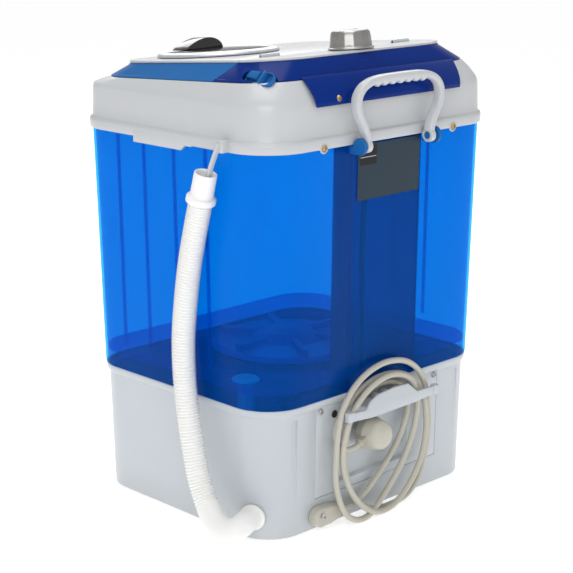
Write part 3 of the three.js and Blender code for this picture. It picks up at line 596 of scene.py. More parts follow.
def outline(bm, at, segments):
    """A rounded rectangle as one face, at a level."""
    face = rounded_quad(bm, at["hx"], at["hy"], at["r"], segments)
    for v in face.verts:
        move_level(v, at, at)
    return face


def move_level(v, old, new):
    """Moves a corner point from one outline to the same place on another.

    An outline's own first move, with old and new the same, starts from equal corners all round.
    """
    x, y = v.co.x, v.co.y
    sx, sy = math.copysign(1, x), math.copysign(1, y)
    old_r = old["r"]
    if old is not new:
        old_r = old["rear"] if sy > 0 else old["r"]
    new_r = new["rear"] if sy > 0 else new["r"]
    u = (abs(x) - old["hx"] + old_r) / old_r
    w = (abs(y) - old["hy"] + old_r) / old_r
    x = sx * (new["hx"] - new_r + u * new_r)
    y = sy * (new["hy"] - new_r + w * new_r)
    v.co = Vector((x, y, new["z"](y)))


def loft(levels, segments, closed=False):
    """A skin through the levels, open at its lowest and last faces unless it is closed."""
    bm = bmesh.new()
    first = face = outline(bm, levels[0], segments)
    for old, new in zip(levels, levels[1:]):
        made = bmesh.ops.extrude_face_region(bm, geom=[face])["geom"]
        if face is not first:
            bmesh.ops.delete(bm, geom=[face], context="FACES_ONLY")
        face = next(g for g in made if isinstance(g, bmesh.types.BMFace))
        for v in face.verts:
            move_level(v, old, new)
    if not closed:
        lowest = min(bm.faces, key=lambda f: f.calc_center_median().z)
        bmesh.ops.delete(bm, geom=[lowest, face], context="FACES_ONLY")
    face_out(bm)
    return bm


def slice_at(bm, point, normal, drop=None, only=None):
    """Cuts the mesh along a plane. drop is the side to take away."""
    faces = [f for f in bm.faces if only is None or only(f)]
    edges = {e for f in faces for e in f.edges}
    verts = {v for f in faces for v in f.verts}
    bmesh.ops.bisect_plane(
        bm, geom=[*verts, *edges, *faces], dist=1e-7, plane_co=point, plane_no=normal,
        clear_outer=drop == "outer", clear_inner=drop == "inner",
    )


def open_window(bm, x, z):
    """Takes a rectangle out of the rear wall."""
    def on_wall(f):
        return f.normal.y > 0.9
    for value in x:
        slice_at(bm, (value, 0, 0), (1, 0, 0), only=on_wall)
    for value in z:
        slice_at(bm, (0, 0, value), (0, 0, 1), only=on_wall)
    inside = []
    for f in bm.faces:
        c = f.calc_center_median()
        if on_wall(f) and x[0] < c.x < x[1] and z[0] < c.z < z[1]:
            inside.append(f)
    bmesh.ops.delete(bm, geom=inside, context="FACES")


ALONG_X = Matrix.Rotation(math.pi / 2, 4, "Y")
ALONG_Y = Matrix.Rotation(-math.pi / 2, 4, "X")
TILTED = Matrix.Rotation(TILT, 4, "X")


def turned(at, turn):
    """A place and the way a piece there faces."""
    return Matrix.Translation(at) @ turn


def rod(bm, radius, length, matrix, sides):
    """A cylinder round a place."""
    bmesh.ops.create_cone(
        bm, cap_ends=True, segments=sides, radius1=radius, radius2=radius, depth=length,
        matrix=matrix,
    )


def block(bm, x, y, z, matrix=Matrix(), bevel=0.0, segments=2):
    """A box between corners, with rounded edges."""
    size = Matrix.Diagonal((x[1] - x[0], y[1] - y[0], z[1] - z[0], 1))
    middle = Matrix.Translation(((x[0] + x[1]) / 2, (y[0] + y[1]) / 2, (z[0] + z[1]) / 2))
    verts = bmesh.ops.create_cube(bm, size=1, matrix=matrix @ middle @ size)["verts"]
    if bevel:
        bevel_edges(bm, {e for v in verts for e in v.link_edges}, bevel, segments)


def lathe(bm, profile, sides, matrix=Matrix()):
    """Spins a profile of (radius, height), in millimetres, about Z."""
    verts = [bm.verts.new((r * MM, 0, z * MM)) for r, z in profile]
    edges = [bm.edges.new(pair) for pair in zip(verts, verts[1:])]
    made = bmesh.ops.spin(
        bm, geom=[*verts, *edges], cent=(0, 0, 0), axis=(0, 0, 1), steps=sides,
        angle=2 * math.pi, use_merge=True,
    )
    faces = {f for e in edges if e.is_valid for f in e.link_faces}
    todo, seen = list(faces), set(faces)
    while todo:
        for e in todo.pop().edges:
            for f in e.link_faces:
                if f not in seen:
                    seen.add(f)
                    todo.append(f)
    found = {v for f in seen for v in f.verts}
    bmesh.ops.remove_doubles(bm, verts=[*found], dist=1e-7)
    found = [v for v in found if v.is_valid]
    bmesh.ops.transform(bm, matrix=matrix, verts=found)
    return found


def route(points, step):
    """Points evenly spaced along a smooth line through the given ones, in metres."""
    p = [Vector(q) for q in points]
    p = [2 * p[0] - p[1], *p, 2 * p[-1] - p[-2]]
    dense = []
    for a, b, c, d in zip(p, p[1:], p[2:], p[3:]):
        t0, t1 = 0.0, math.sqrt((b - a).length)
        t2 = t1 + math.sqrt((c - b).length)
        t3 = t2 + math.sqrt((d - c).length)
        for i in range(24):
            t = t1 + (t2 - t1) * i / 24
            ab = a.lerp(b, (t - t0) / (t1 - t0))
            bc = b.lerp(c, (t - t1) / (t2 - t1))
            cd = c.lerp(d, (t - t2) / (t3 - t2))
            abc = ab.lerp(bc, (t - t0) / (t2 - t0))
            bcd = bc.lerp(cd, (t - t1) / (t3 - t1))
            dense.append(abc.lerp(bcd, (t - t1) / (t2 - t1)))
    dense.append(p[-2])
    total = sum((b - a).length for a, b in zip(dense, dense[1:]))
    count = max(2, round(total / step))
    spaced, travelled, target = [dense[0]], 0.0, total / count
    for a, b in zip(dense, dense[1:]):
        gap = (b - a).length
        while gap and travelled + gap >= target - 1e-12 and len(spaced) < count:
            spaced.append(a.lerp(b, (target - travelled) / gap))
            target += total / count
        travelled += gap
    return [*spaced, dense[-1]]


def length_of(line):
    return sum((b - a).length for a, b in zip(line, line[1:]))


def frames_along(line, up):
    """A turning frame at each point, carried along without twist."""
    tangents = []
    for i, _ in enumerate(line):
        ahead, behind = line[min(i + 1, len(line) - 1)], line[max(i - 1, 0)]
        tangents.append((ahead - behind).normalized())
    side = tangents[0].cross(up)
    if side.length < 1e-3:
        side = tangents[0].cross(Vector((0, 1, 0)))
    frames = []
    for at, along in zip(line, tangents):
        side = (side - along * side.dot(along)).normalized()
        third = along.cross(side)
        turn = Matrix((side, third, along)).transposed().to_4x4()
        frames.append(Matrix.Translation(at) @ turn)
    return frames


def sweep(bm, line, sizes, sides, up=Vector((0, 0, 1)), square=1.0):
    """A closed tube along a line. sizes gives each point's radius, or its two half widths.

    square below 1 makes the section boxier.
    """
    frames = frames_along(line, up)

    def sized(i):
        wide, deep = sizes[i] if isinstance(sizes[i], tuple) else (sizes[i], sizes[i])
        return frames[i] @ Matrix.Diagonal((wide, deep, 1, 1))

    ring = bmesh.ops.create_circle(bm, cap_ends=True, segments=sides, radius=1)["verts"]
    for v in ring:
        v.co.x = math.copysign(abs(v.co.x) ** square, v.co.x)
        v.co.y = math.copysign(abs(v.co.y) ** square, v.co.y)
    bmesh.ops.transform(bm, matrix=sized(0), verts=ring)
    edges = list({e for v in ring for e in v.link_edges})
    for i in range(1, len(line)):
        made = bmesh.ops.extrude_edge_only(bm, edges=edges)["geom"]
        edges = [g for g in made if isinstance(g, bmesh.types.BMEdge)]
        ring = [g for g in made if isinstance(g, bmesh.types.BMVert)]
        bmesh.ops.transform(bm, matrix=sized(i) @ sized(i - 1).inverted(), verts=ring)
    bmesh.ops.contextual_create(bm, geom=edges)


def drawn_out(bm, way, face=None, edges=None):
    """Draws a face or a row of edges out along a way, and gives the points at its far end."""
    if face:
        made = bmesh.ops.extrude_face_region(bm, geom=[face])["geom"]
    else:
        made = bmesh.ops.extrude_edge_only(bm, edges=edges)["geom"]
    moved = [g for g in made if isinstance(g, bmesh.types.BMVert)]
    bmesh.ops.translate(bm, verts=moved, vec=way)
    return moved


def plate(bm, points, y, depth):
    """A flat shape given in (x, z), from y back by depth."""
    verts = [bm.verts.new((px, y, pz)) for px, pz in points]
    return verts + drawn_out(bm, (0, -depth, 0), face=bm.faces.new(verts))


def bevel_edges(bm, edges, width, segments):
    bmesh.ops.bevel(
        bm, geom=[*edges], offset=width, offset_type="OFFSET", affect="EDGES",
        segments=segments, profile=0.5, material=-1,
    )


# ---------------------------------------------------------------------------
# Operators


class WASHER_OT_stage(bpy.types.Operator):
    """Camera, floor, lights and finishes"""

    bl_idname = "washer.stage"
    bl_label = "Stage"
    bl_options = {"REGISTER", "UNDO"}

    def execute(self, context):
        scene = context.scene
        data = bpy.data.cameras.new("camera")
        data.lens = LENS
        data.sensor_width = 36
        data.shift_x = -0.005
        data.clip_end = 50
        camera = bpy.data.objects.new("camera", data)
        camera.location = CAMERA_AT
        camera.rotation_euler = CAMERA_LOOK.to_track_quat("-Z", "Y").to_euler()
        scene.collection.objects.link(camera)
        scene.camera = camera
        FINISHES.update(make_finishes(scene.washer_colours))
        bm = bmesh.new()
        bmesh.ops.create_grid(bm, x_segments=4, y_segments=4, size=30)
        floor = commit(bm, "studio_floor", "floor", body=None, facing=(0, 0, 1))
        scene.view_settings.view_transform = "Standard"
        world = bpy.data.worlds.new("studio")
        world.use_nodes = True
        sky = world.node_tree.nodes["Background"].inputs
        sky["Color"].default_value = (1, 1, 1, 1)
        sky["Strength"].default_value = SKY_STRENGTH
        scene.world = world
        for name, at, size, power in LAMPS:
            light = bpy.data.lights.new(name, "AREA")
            light.size = size
            light.energy = power
            lamp = bpy.data.objects.new(name, light)
            lamp.location = at
            aim = LAMP_AIM - Vector(at)
            lamp.rotation_euler = aim.to_track_quat("-Z", "Y").to_euler()
            scene.collection.objects.link(lamp)
        return {"FINISHED"}


# The mains cord: out of its clamp, round the hanger in three full turns and a part of one, and
# into the plug. Points in millimetres.
CORD_ROUTE = [
    (63, 156, 19), (54, 156.2, 19), (44, 156.8, 21), (32, 157.4, 27), (16, 157.6, 38),
    (-2, 157.6, 53), (-20, 157.6, 71), (-35, 157.6, 92), (-43, 157.6, 114), (-41, 158, 133),
    (-29, 158.5, 147), (-9, 159, 155), (12, 159, 156), (33, 159, 150), (49, 159.5, 138),
    (60, 160, 119), (66, 160.5, 96), (67, 161, 72), (61, 161.5, 46), (48, 162, 25),
    (30, 162, 12), (8, 162, 5.5), (-16, 162, 4.5), (-40, 162, 9), (-58, 162, 23),
    (-69, 162, 48), (-75, 162, 76), (-76, 162, 104), (-70, 162, 135), (-56, 162.5, 159),
    (-34, 163, 175), (-6, 164, 182), (19, 164.5, 181), (44, 165, 173), (64, 165.5, 159),
    (77, 166, 141), (84, 166, 118), (87, 166.5, 90), (88, 167, 61), (82, 168, 35),
    (70, 169, 15), (52, 169.5, 5), (33, 169, 6), (13, 167, 17), (-8, 165.5, 34),
    (-28, 165, 56), (-43, 165, 82), (-51, 165, 108), (-51, 165, 130), (-42, 165.5, 149),
    (-22, 166, 162), (3, 166.5, 166), (29, 167, 160), (51, 167.5, 147), (67, 168, 129),
    (76, 168.5, 107), (79, 169, 84), (75, 170, 62), (64, 171, 40), (46, 171.5, 20),
    (26, 171.5, 8), (6, 170, 5), (-15, 168.5, 9), (-37, 168.5, 25), (-55, 168.5, 49),
    (-64, 168, 76), (-67, 166, 104), (-63, 163, 130), (-50, 159.5, 149), (-28, 158, 161),
    (2, 158, 165), (30, 158, 160), (54, 158.5, 148), (72, 159, 133), (81, 160, 118),
    (80, 161.5, 103), (69, 163, 93), (56, 163.5, 91.5), (44, 163, 94.5),
]

HOSE_ROUTE = [
    (188.4, 125.7, 30), (193.2, 127.8, 30), (198.5, 129.2, 29), (205.5, 127, 26.5),
    (210, 119.5, 25), (211.5, 109, 27), (211, 98, 33), (209.5, 87, 43), (208, 77, 57),
    (206.5, 67, 77), (205, 58, 105), (204.2, 50, 140), (204, 45, 180), (204, 44, 225),
    (204, 49, 270), (204, 57, 315), (204, 66, 350), (204, 75.5, 384),
]

# The hose's elbow is plain, then its ribs deepen over a short run
HOSE_PLAIN = 0.062
HOSE_EASE = 0.012
HOSE_CREST = 0.0006
HOSE_RIB_DEPTH = 0.0016
HOSE_WAVE = (0.0, 0.55, 1.0, 0.55)

NOZZLE = Matrix.Translation((0.204, 0.0755, 0.384)) @ Matrix.Rotation(
    -math.atan2(9.5, 34), 4, "X"
)
CLAMP = Vector((0.084, 0.149535, 0.019))
PLUG = Vector((0.024, 0.1523, 0.102))


def in_metres(points):
    return [Vector(p) * MM for p in points]


class WASHER_OT_mains_cord(bpy.types.Operator):
    """Mains cord wound on its hanger, its strain relief and its plug"""

    bl_idname = "washer.mains_cord"
    bl_label = "Mains cord"
    bl_options = {"REGISTER", "UNDO"}

    def execute(self, context):
        sizes = context.scene.washer_sizes
        plug = self.plug()
        clamp = self.clamp()
        r = sizes.cord_diameter / 2
        line = route(in_metres(CORD_ROUTE), 0.004)
        bm = bmesh.new()
        sweep(bm, line, [r] * len(line), 14)
        cord = commit(
            bm, "mains_cord", "cord", stands_for=("power_cord_lead", "power_cord_coil"), sharp=60
        )
        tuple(line[0])
        round(length_of(line), 3)
        return {"FINISHED"}

    def plug(self):
        """A round plug with a grip of moulded ribs and a tapered cord sleeve."""
        bm = bmesh.new()
        stand = turned(PLUG, ALONG_Y)
        profile = [
            (0, 0.0), (16.2, 0.0), (17.6, 0.6), (18.4, 2), (18.8, 9), (19.3, 10), (19.3, 12),
            (18.6, 13), (17.6, 21), (15.6, 27.5), (12, 31.2), (6, 32.8), (0, 33.2),
        ]
        lathe(bm, profile, 48, stand)
        turn = Matrix.Translation(PLUG) @ Matrix.Rotation(math.radians(20), 4, "Y")
        for i in range(7):
            x = 10.5 + 1.9 * i
            half = 10.8 - 0.75 * i
            block(
                bm, ((x - 0.55) * MM, (x + 0.55) * MM), ((11 - half) * MM, (11 + half) * MM),
                ((-half) * MM, half * MM), turn, bevel=0.0004,
            )
        neck = route([turn @ Vector((0, 0.011, 0)), turn @ Vector((0.0245, 0.011, 0))], 0.002)
        widths = [0.0105 - 0.0065 * (i / (len(neck) - 1)) ** 1.3 for i in range(len(neck))]
        sweep(bm, neck, widths, 20)
        for side in (-1, 1):
            at = (PLUG.x + side * 0.0095, PLUG.y - 0.005, PLUG.z)
            rod(bm, 0.0024, 0.012, turned(at, ALONG_Y), 16)
        return commit(bm, "mains_plug", "cord", stands_for=("power_plug",), sharp=40)

    def clamp(self):
        """A flat tapered boot, screwed on at its round end and ribbed where the cord leaves."""
        bm = bmesh.new()
        outer = []
        for i in range(17):
            a = -1.9 + 3.5 * i / 16
            outer.append((18 + 11.5 * math.cos(a), 11.5 * math.sin(a)))
        outer += [(4, 11.2), (-8, 9.2), (-18, 6.4), (-18, -6.2), (-8, -8.6), (4, -11)]
        verts = plate(
            bm, [(CLAMP.x + x * MM, CLAMP.z + z * MM) for x, z in outer], CLAMP.y + 0.0115, 0.0115
        )
        edges = {e for v in verts for e in v.link_edges if abs(v.co.y - CLAMP.y - 0.0115) < 1e-6}
        edges = [e for e in edges if all(abs(v.co.y - CLAMP.y - 0.0115) < 1e-6 for v in e.verts)]
        bevel_edges(bm, edges, 0.0028, 4)
        for i in range(5):
            x = -8 - 2.6 * i
            half = 7.6 - 0.62 * i
            block(
                bm, ((CLAMP.x * 1000 + x - 0.7) * MM, (CLAMP.x * 1000 + x + 0.7) * MM),
                (CLAMP.y, CLAMP.y + 0.0125 - 0.0004 * i),
                (CLAMP.z - half * MM, CLAMP.z + half * MM), bevel=0.0005,
            )
        sleeve = [CLAMP + Vector((x, 0.0065, 0)) for x in (-0.014, -0.0205)]
        sweep(bm, sleeve, [0.0058, 0.0046], 20)
        return commit(bm, "cord_clamp_boot", "cord", stands_for=("cord_clamp",), sharp=40)


class WASHER_OT_drain_hose(bpy.types.Operator):
    """Corrugated drain hose with its nozzle and its hook"""

    bl_idname = "washer.drain_hose"
    bl_label = "Drain hose"
    bl_options = {"REGISTER", "UNDO"}

    def execute(self, context):
        sizes = context.scene.washer_sizes
        nozzle = self.nozzle()
        r = sizes.hose_diameter / 2
        pitch = sizes.hose_pitch
        line = route(in_metres(HOSE_ROUTE), pitch / 4)
        radii = []
        for i in range(len(line)):
            ease = min(1.0, max(0.0, (i * pitch / 4 - HOSE_PLAIN) / HOSE_EASE))
            radii.append(r - HOSE_CREST - ease * HOSE_RIB_DEPTH * HOSE_WAVE[i % len(HOSE_WAVE)])
        bm = bmesh.new()
        sweep(bm, line, radii, 28)
        hose = commit(bm, "drain_hose_tube", "hose", stands_for=("drain_hose",), sharp=75)
        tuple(line[0])
        round(length_of(line), 3)
        self.hook()
        return {"FINISHED"}

    def nozzle(self):
        bm = bmesh.new()
        profile = [
            (13.2, 0.4), (15.6, 0.4), (16.3, 1.2), (16.5, 3), (16.3, 6.6), (15.6, 7.6), (13.4, 8.2),
            (12.9, 9.4), (12.6, 22), (12.5, 33.6), (12.1, 34.6), (11.2, 34.8), (10.4, 34.2),
            (9.8, 32), (9.6, 10), (0, 9.4),
        ]
        lathe(bm, profile, 48, NOZZLE)
        return commit(bm, "hose_nozzle_end", "hose", stands_for=("hose_nozzle",), sharp=40)

    def hook(self):
        bm = bmesh.new()
        points = in_metres(
            [(199, 101, 450), (202, 98.5, 440), (204.6, 92.5, 422), (204.3, 86, 404)]
        )
        line = route(points, 0.003)
        count = len(line) - 1
        sizes = [(0.0016, 0.0038 - 0.0006 * i / count) for i in range(len(line))]
        sweep(bm, line, sizes, 20, up=Vector((1, 0, 0)), square=0.7)
        block(bm, (0.1895, 0.2005), (0.0955, 0.1065), (0.4400, 0.4535), bevel=0.0014, segments=3)
        commit(bm, "hose_hook_bar", "cap_white", stands_for=("hose_hook",), sharp=50)


class WASHER_OT_base(bpy.types.Operator):
    """Base housing, service cover and cord hanger"""

    bl_idname = "washer.base"
    bl_label = "Base"
    bl_options = {"REGISTER", "UNDO"}

    def execute(self, context):
        sizes = context.scene.washer_sizes
        segments = sizes.corner_segments
        step = BASE_STEP
        levels = [
            level(0.003, step + 0.0012), level(0.0042, step), level(0.146, step),
            level(0.1468, step - 0.0006), level(0.1482, step - 0.0022),
            level(0.1502, step - 0.0030), level(0.1535, step - 0.0034),
            level(0.1560, step - 0.0030),
        ]
        bm = loft(levels, segments)
        open_window(bm, (-0.1036, 0.1036), (0.0387, 0.1484))
        housing = commit(bm, "base_shell", "base_white", stands_for=("base_housing",), sharp=30)
        thicken(housing, 0.003, 0.0004, 30)
        bm = bmesh.new()
        for side in (-1, 1):
            block(
                bm, (side * 0.137 - 0.0042, side * 0.137 + 0.0042),
                (rear_at(0.08, step) - 0.0012, rear_at(0.08, step) + 0.01), (0.012, 0.141),
                bevel=0.0009,
            )
        carve(housing, bm, 30)
        self.cover(step)
        self.hanger(step)
        return {"FINISHED"}

    def cover(self, step):
        """The service cover, with its sunk middle and a dark cable hole."""
        bm = bmesh.new()
        grid = bmesh.ops.create_grid(bm, x_segments=1, y_segments=1, size=1)["verts"]
        for v in grid:
            z = 0.0935 + v.co.y * 0.0544
            v.co = Vector((v.co.x * 0.1032, rear_at(z, step), z))
        for x in (-0.052, 0.064):
            slice_at(bm, (x, 0, 0), (1, 0, 0))
        for z in (0.050, 0.122):
            slice_at(bm, (0, 0, z), (0, 0, 1))
        middle = []
        for f in bm.faces:
            centre = f.calc_center_median()
            if abs(centre.x - 0.006) < 0.03 and abs(centre.z - 0.086) < 0.02:
                middle.append(f)
        bmesh.ops.inset_region(bm, faces=middle, thickness=0.003, depth=0)
        sunk = list({v for f in middle for v in f.verts})
        bmesh.ops.translate(bm, verts=sunk, vec=(0, -0.006, 0))
        bmesh.ops.inset_region(bm, faces=middle, thickness=0.002, depth=0)
        piece = commit(
            bm, "service_cover", "base_white", stands_for=("rear_cover",), facing=(0, 1, 0)
        )
        thicken(piece, 0.0026, 0.0006, 30)
        bm = bmesh.new()
        rod(bm, 0.0046, 0.04, turned((0.074, 0.150, 0.134), ALONG_Y), 32)
        carve(piece, bm, 30)
        bm = bmesh.new()
        profile = [(0, -4), (4.3, -4), (4.3, 0.6), (3.6, 1.2), (3, -1), (0, -1.2)]
        lathe(bm, profile, 32, turned((0.074, rear_at(0.134, step), 0.134), ALONG_Y))
        commit(bm, "cable_hole_grommet", "rubber", sharp=50)

    def hanger(self, step):
        """A broad middle plate with two flared arms that the cord is wound behind."""
        front = rear_at(0.130, step) + 0.025
        bm = bmesh.new()
        shape = [
            (-77, 130), (-68, 130), (-38, 127.5), (38, 126.5), (68, 129), (76, 129), (77.5, 134.5),
            (76, 140.5), (68, 139), (47, 137.5), (40, 146), (28, 151.5), (0, 154), (-24, 153),
            (-31, 147), (-40, 140), (-68, 139.5), (-77, 141),
        ]
        plate(bm, [(x * MM, z * MM) for x, z in shape], front, 0.003)
        piece = commit(bm, "cord_hanger_plate", "base_white", stands_for=("cord_hanger",))
        soften(piece, 0.0009, 30, 3)
        bm = bmesh.new()
        for side in (-1, 1):
            x = side * 0.0725
            block(bm, (x - 0.0045, x + 0.0045), (front - 0.0062, front + 0.0012), (0.1292, 0.1405),
                  bevel=0.0012, segments=3)
        back = rear_at(0.137, step) - 0.001
        block(bm, (-0.027, 0.027), (back, front - 0.0015), (0.1305, 0.1435), bevel=0.001)
        for x in (-0.018, 0.0, 0.018):
            block(bm, (x - 0.001, x + 0.001), (back, front - 0.001), (0.1285, 0.149), bevel=0.0005)
        commit(bm, "cord_hanger_ribs", "base_white")


class WASHER_OT_tub(bpy.types.Operator):
    """Translucent wash tub with its floor, ribs, cable duct, ears and label"""

    bl_idname = "washer.tub"
    bl_label = "Tub"
    bl_options = {"REGISTER", "UNDO"}

    def execute(self, context):
        sizes = context.scene.washer_sizes
        segments = sizes.corner_segments
        bottom, top = 0.1563, 0.4465
        levels = [
            level(bottom, 0.0012), level(bottom + 0.0012), level(0.30), level(TUB_TOP),
            level(top),
        ]
        bm = loft(levels, segments)
        open_window(bm, (-0.0537, 0.0537), (bottom - 0.01, top + 0.01))
        walls = commit(bm, "tub_walls", "tub", stands_for=("wash_tub",), sharp=30)
        thicken(walls, sizes.tub_wall, 0.0005, 30)
        self.duct(bottom, top)
        self.floor(segments)
        self.ribs()
        self.ears()
        self.label()
        return {"FINISHED"}

    def duct(self, bottom, top):
        bm = bmesh.new()
        path = [(-0.0565, 0.1572), (-0.0565, 0.1312), (0.0565, 0.1312), (0.0565, 0.1572)]
        verts = [bm.verts.new((x, y - 0.004, bottom)) for x, y in path]
        edges = [bm.edges.new(pair) for pair in zip(verts, verts[1:])]
        drawn_out(bm, (0, 0.0045, top - bottom), edges=edges)
        duct = commit(bm, "cable_duct", "duct_blue", sharp=30)
        add_wall(duct, 0.0028, 0)
        soften(duct, 0.0006, 30)

    def floor(self, segments):
        bm = bmesh.new()
        ring = outline(bm, level(0.176, 0.0035), segments)
        rim = list(ring.edges)
        bmesh.ops.delete(bm, geom=[ring], context="FACES_ONLY")
        dish = bmesh.ops.create_circle(
            bm, cap_ends=False, segments=96, radius=0.135, matrix=Matrix.Translation((0, 0, 0.176))
        )["verts"]
        edges = list({e for v in dish for e in v.link_edges})
        bmesh.ops.bridge_loops(bm, edges=[*rim, *edges])
        for radius, z in ((0.1335, 0.1735), (0.128, 0.1672), (0.122, 0.1655), (0.02, 0.1655)):
            made = bmesh.ops.extrude_edge_only(bm, edges=edges)["geom"]
            edges = [g for g in made if isinstance(g, bmesh.types.BMEdge)]
            for g in made:
                if isinstance(g, bmesh.types.BMVert):
                    flat = Vector((g.co.x, g.co.y, 0)).normalized() * radius
                    g.co = (flat.x, flat.y, z)
        floor = commit(bm, "tub_floor", "tub_inner", facing=(0, 0, 1), sharp=40)
        add_wall(floor, 0.003)
        apply_modifiers(floor, 40)

    def ribs(self):
        bm = bmesh.new()
        for side in (-1, 1):
            for y in (-0.087, -0.042, 0.009, 0.061):
                low, high = 0.185, 0.437
                line = [
                    Vector((side * (HALF_X - lean_in(z) - 0.0042), y, z)) for z in (low, high)
                ]
                sweep(bm, line, [(0.0024, 0.0017)] * 2, 10, up=Vector((1, 0, 0)))
        commit(bm, "tub_ribs", "tub_inner", sharp=60)

    def ears(self):
        """Two blue ears outside the handle's eyelets."""
        bm = bmesh.new()
        for side in (-1, 1):
            x = side * 0.0612
            turn = Matrix.Translation((x - side * 0.002, PIVOT.y, PIVOT.z)) @ Matrix.Rotation(
                side * math.pi / 2, 4, "Y"
            )
            profile = [(0, 0), (9.0, 0), (9.5, 0.5), (9.5, 3.2), (8.8, 3.9), (0, 4.1)]
            lathe(bm, profile, 40, turn)
            block(
                bm, sorted((x - side * 0.002, x + side * 0.0018)), (0.1575, PIVOT.y),
                (PIVOT.z - 0.0088, PIVOT.z - 0.0002), bevel=0.0005,
            )
            rod(bm, 0.004, 0.012, turned((x - side * 0.007, PIVOT.y, PIVOT.z), ALONG_X), 24)
        nodes = ("handle_ear_left", "handle_ear_right")
        commit(bm, "handle_ears", "lid_blue", stands_for=nodes, sharp=40)

    def label(self):
        bm = bmesh.new()

        def on_rear(co):
            z = 0.4065 + co.y
            return Vector((-0.001 + co.x, rear_at(z) + 0.0006, z))

        rounded_quad(bm, 0.051, 0.031, 0.002, 4, on_rear)
        film = commit(bm, "rating_film", "label", stands_for=("rating_label",), facing=(0, 1, 0))
        add_wall(film, 0.0004, 0)
        apply_modifiers(film)


class WASHER_OT_top_frame(bpy.types.Operator):
    """White top frame with its stepped rim, rounded shoulder and wash opening"""

    bl_idname = "washer.top_frame"
    bl_label = "Top frame"
    bl_options = {"REGISTER", "UNDO"}

    def execute(self, context):
        sizes = context.scene.washer_sizes
        segments = sizes.corner_segments

        def shoulder(rise, inset):
            return level(lambda y: CAP_TOP + rise * (deck_at(y) - CAP_TOP), inset, CORNER)

        def deck(inset, corner):
            return level(deck_at, DECK_INSET + inset, corner)

        levels = [
            level(0.4398, -0.0022), level(0.4403, -0.0032), level(0.4415, -0.0036),
            level(0.4490, -0.0036), level(0.4508, -0.0032), level(0.4520, -0.0020),
            level(0.4528, -0.0006), level(0.4545, 0.0), level(0.4700, 0.0006),
            level(0.4860, 0.0012), shoulder(0.0, 0.0016), shoulder(0.14, 0.0026),
            shoulder(0.34, 0.0052), shoulder(0.60, 0.0085), shoulder(0.88, 0.0130),
            deck(-0.0012, CORNER), deck(0.0016, CORNER - 0.001), deck(0.006, CORNER - 0.004),
            deck(0.030, CORNER - 0.020),
        ]
        bm = loft(levels, segments)
        cap = commit(bm, "top_frame_shell", "cap_white", stands_for=("top_frame",), sharp=40)
        thicken(cap, 0.0028, 0.0004, 40)
        bm = bmesh.new()
        for side in (-1, 1):
            for back in (-1, 1):
                at = (side * 0.106, back * (HALF_Y + 0.0022), 0.4415)
                turn = Matrix.Translation(at) @ Matrix.Rotation(-back * math.pi / 2, 4, "X")
                profile = [
                    (0, 0), (6.1, 0), (6.1, 1.0), (5.6, 1.7), (4.6, 1.7), (4.4, 1.1), (0, 1.0),
                ]
                lathe(bm, profile, 32, turn)
        step = [(-50, 447), (-50, 433.5), (30, 433.5), (37, 439), (47, 439), (54, 447)]
        verts = plate(bm, [(y * MM, z * MM) for y, z in step], 0, 0.0042)
        for v in verts:
            v.co = Vector((HALF_X + 0.0037 + v.co.y, v.co.x, v.co.z))
        piece = commit(bm, "rim_bosses", "cap_white", sharp=40)
        soften(piece, 0.0006, 40)
        return {"FINISHED"}


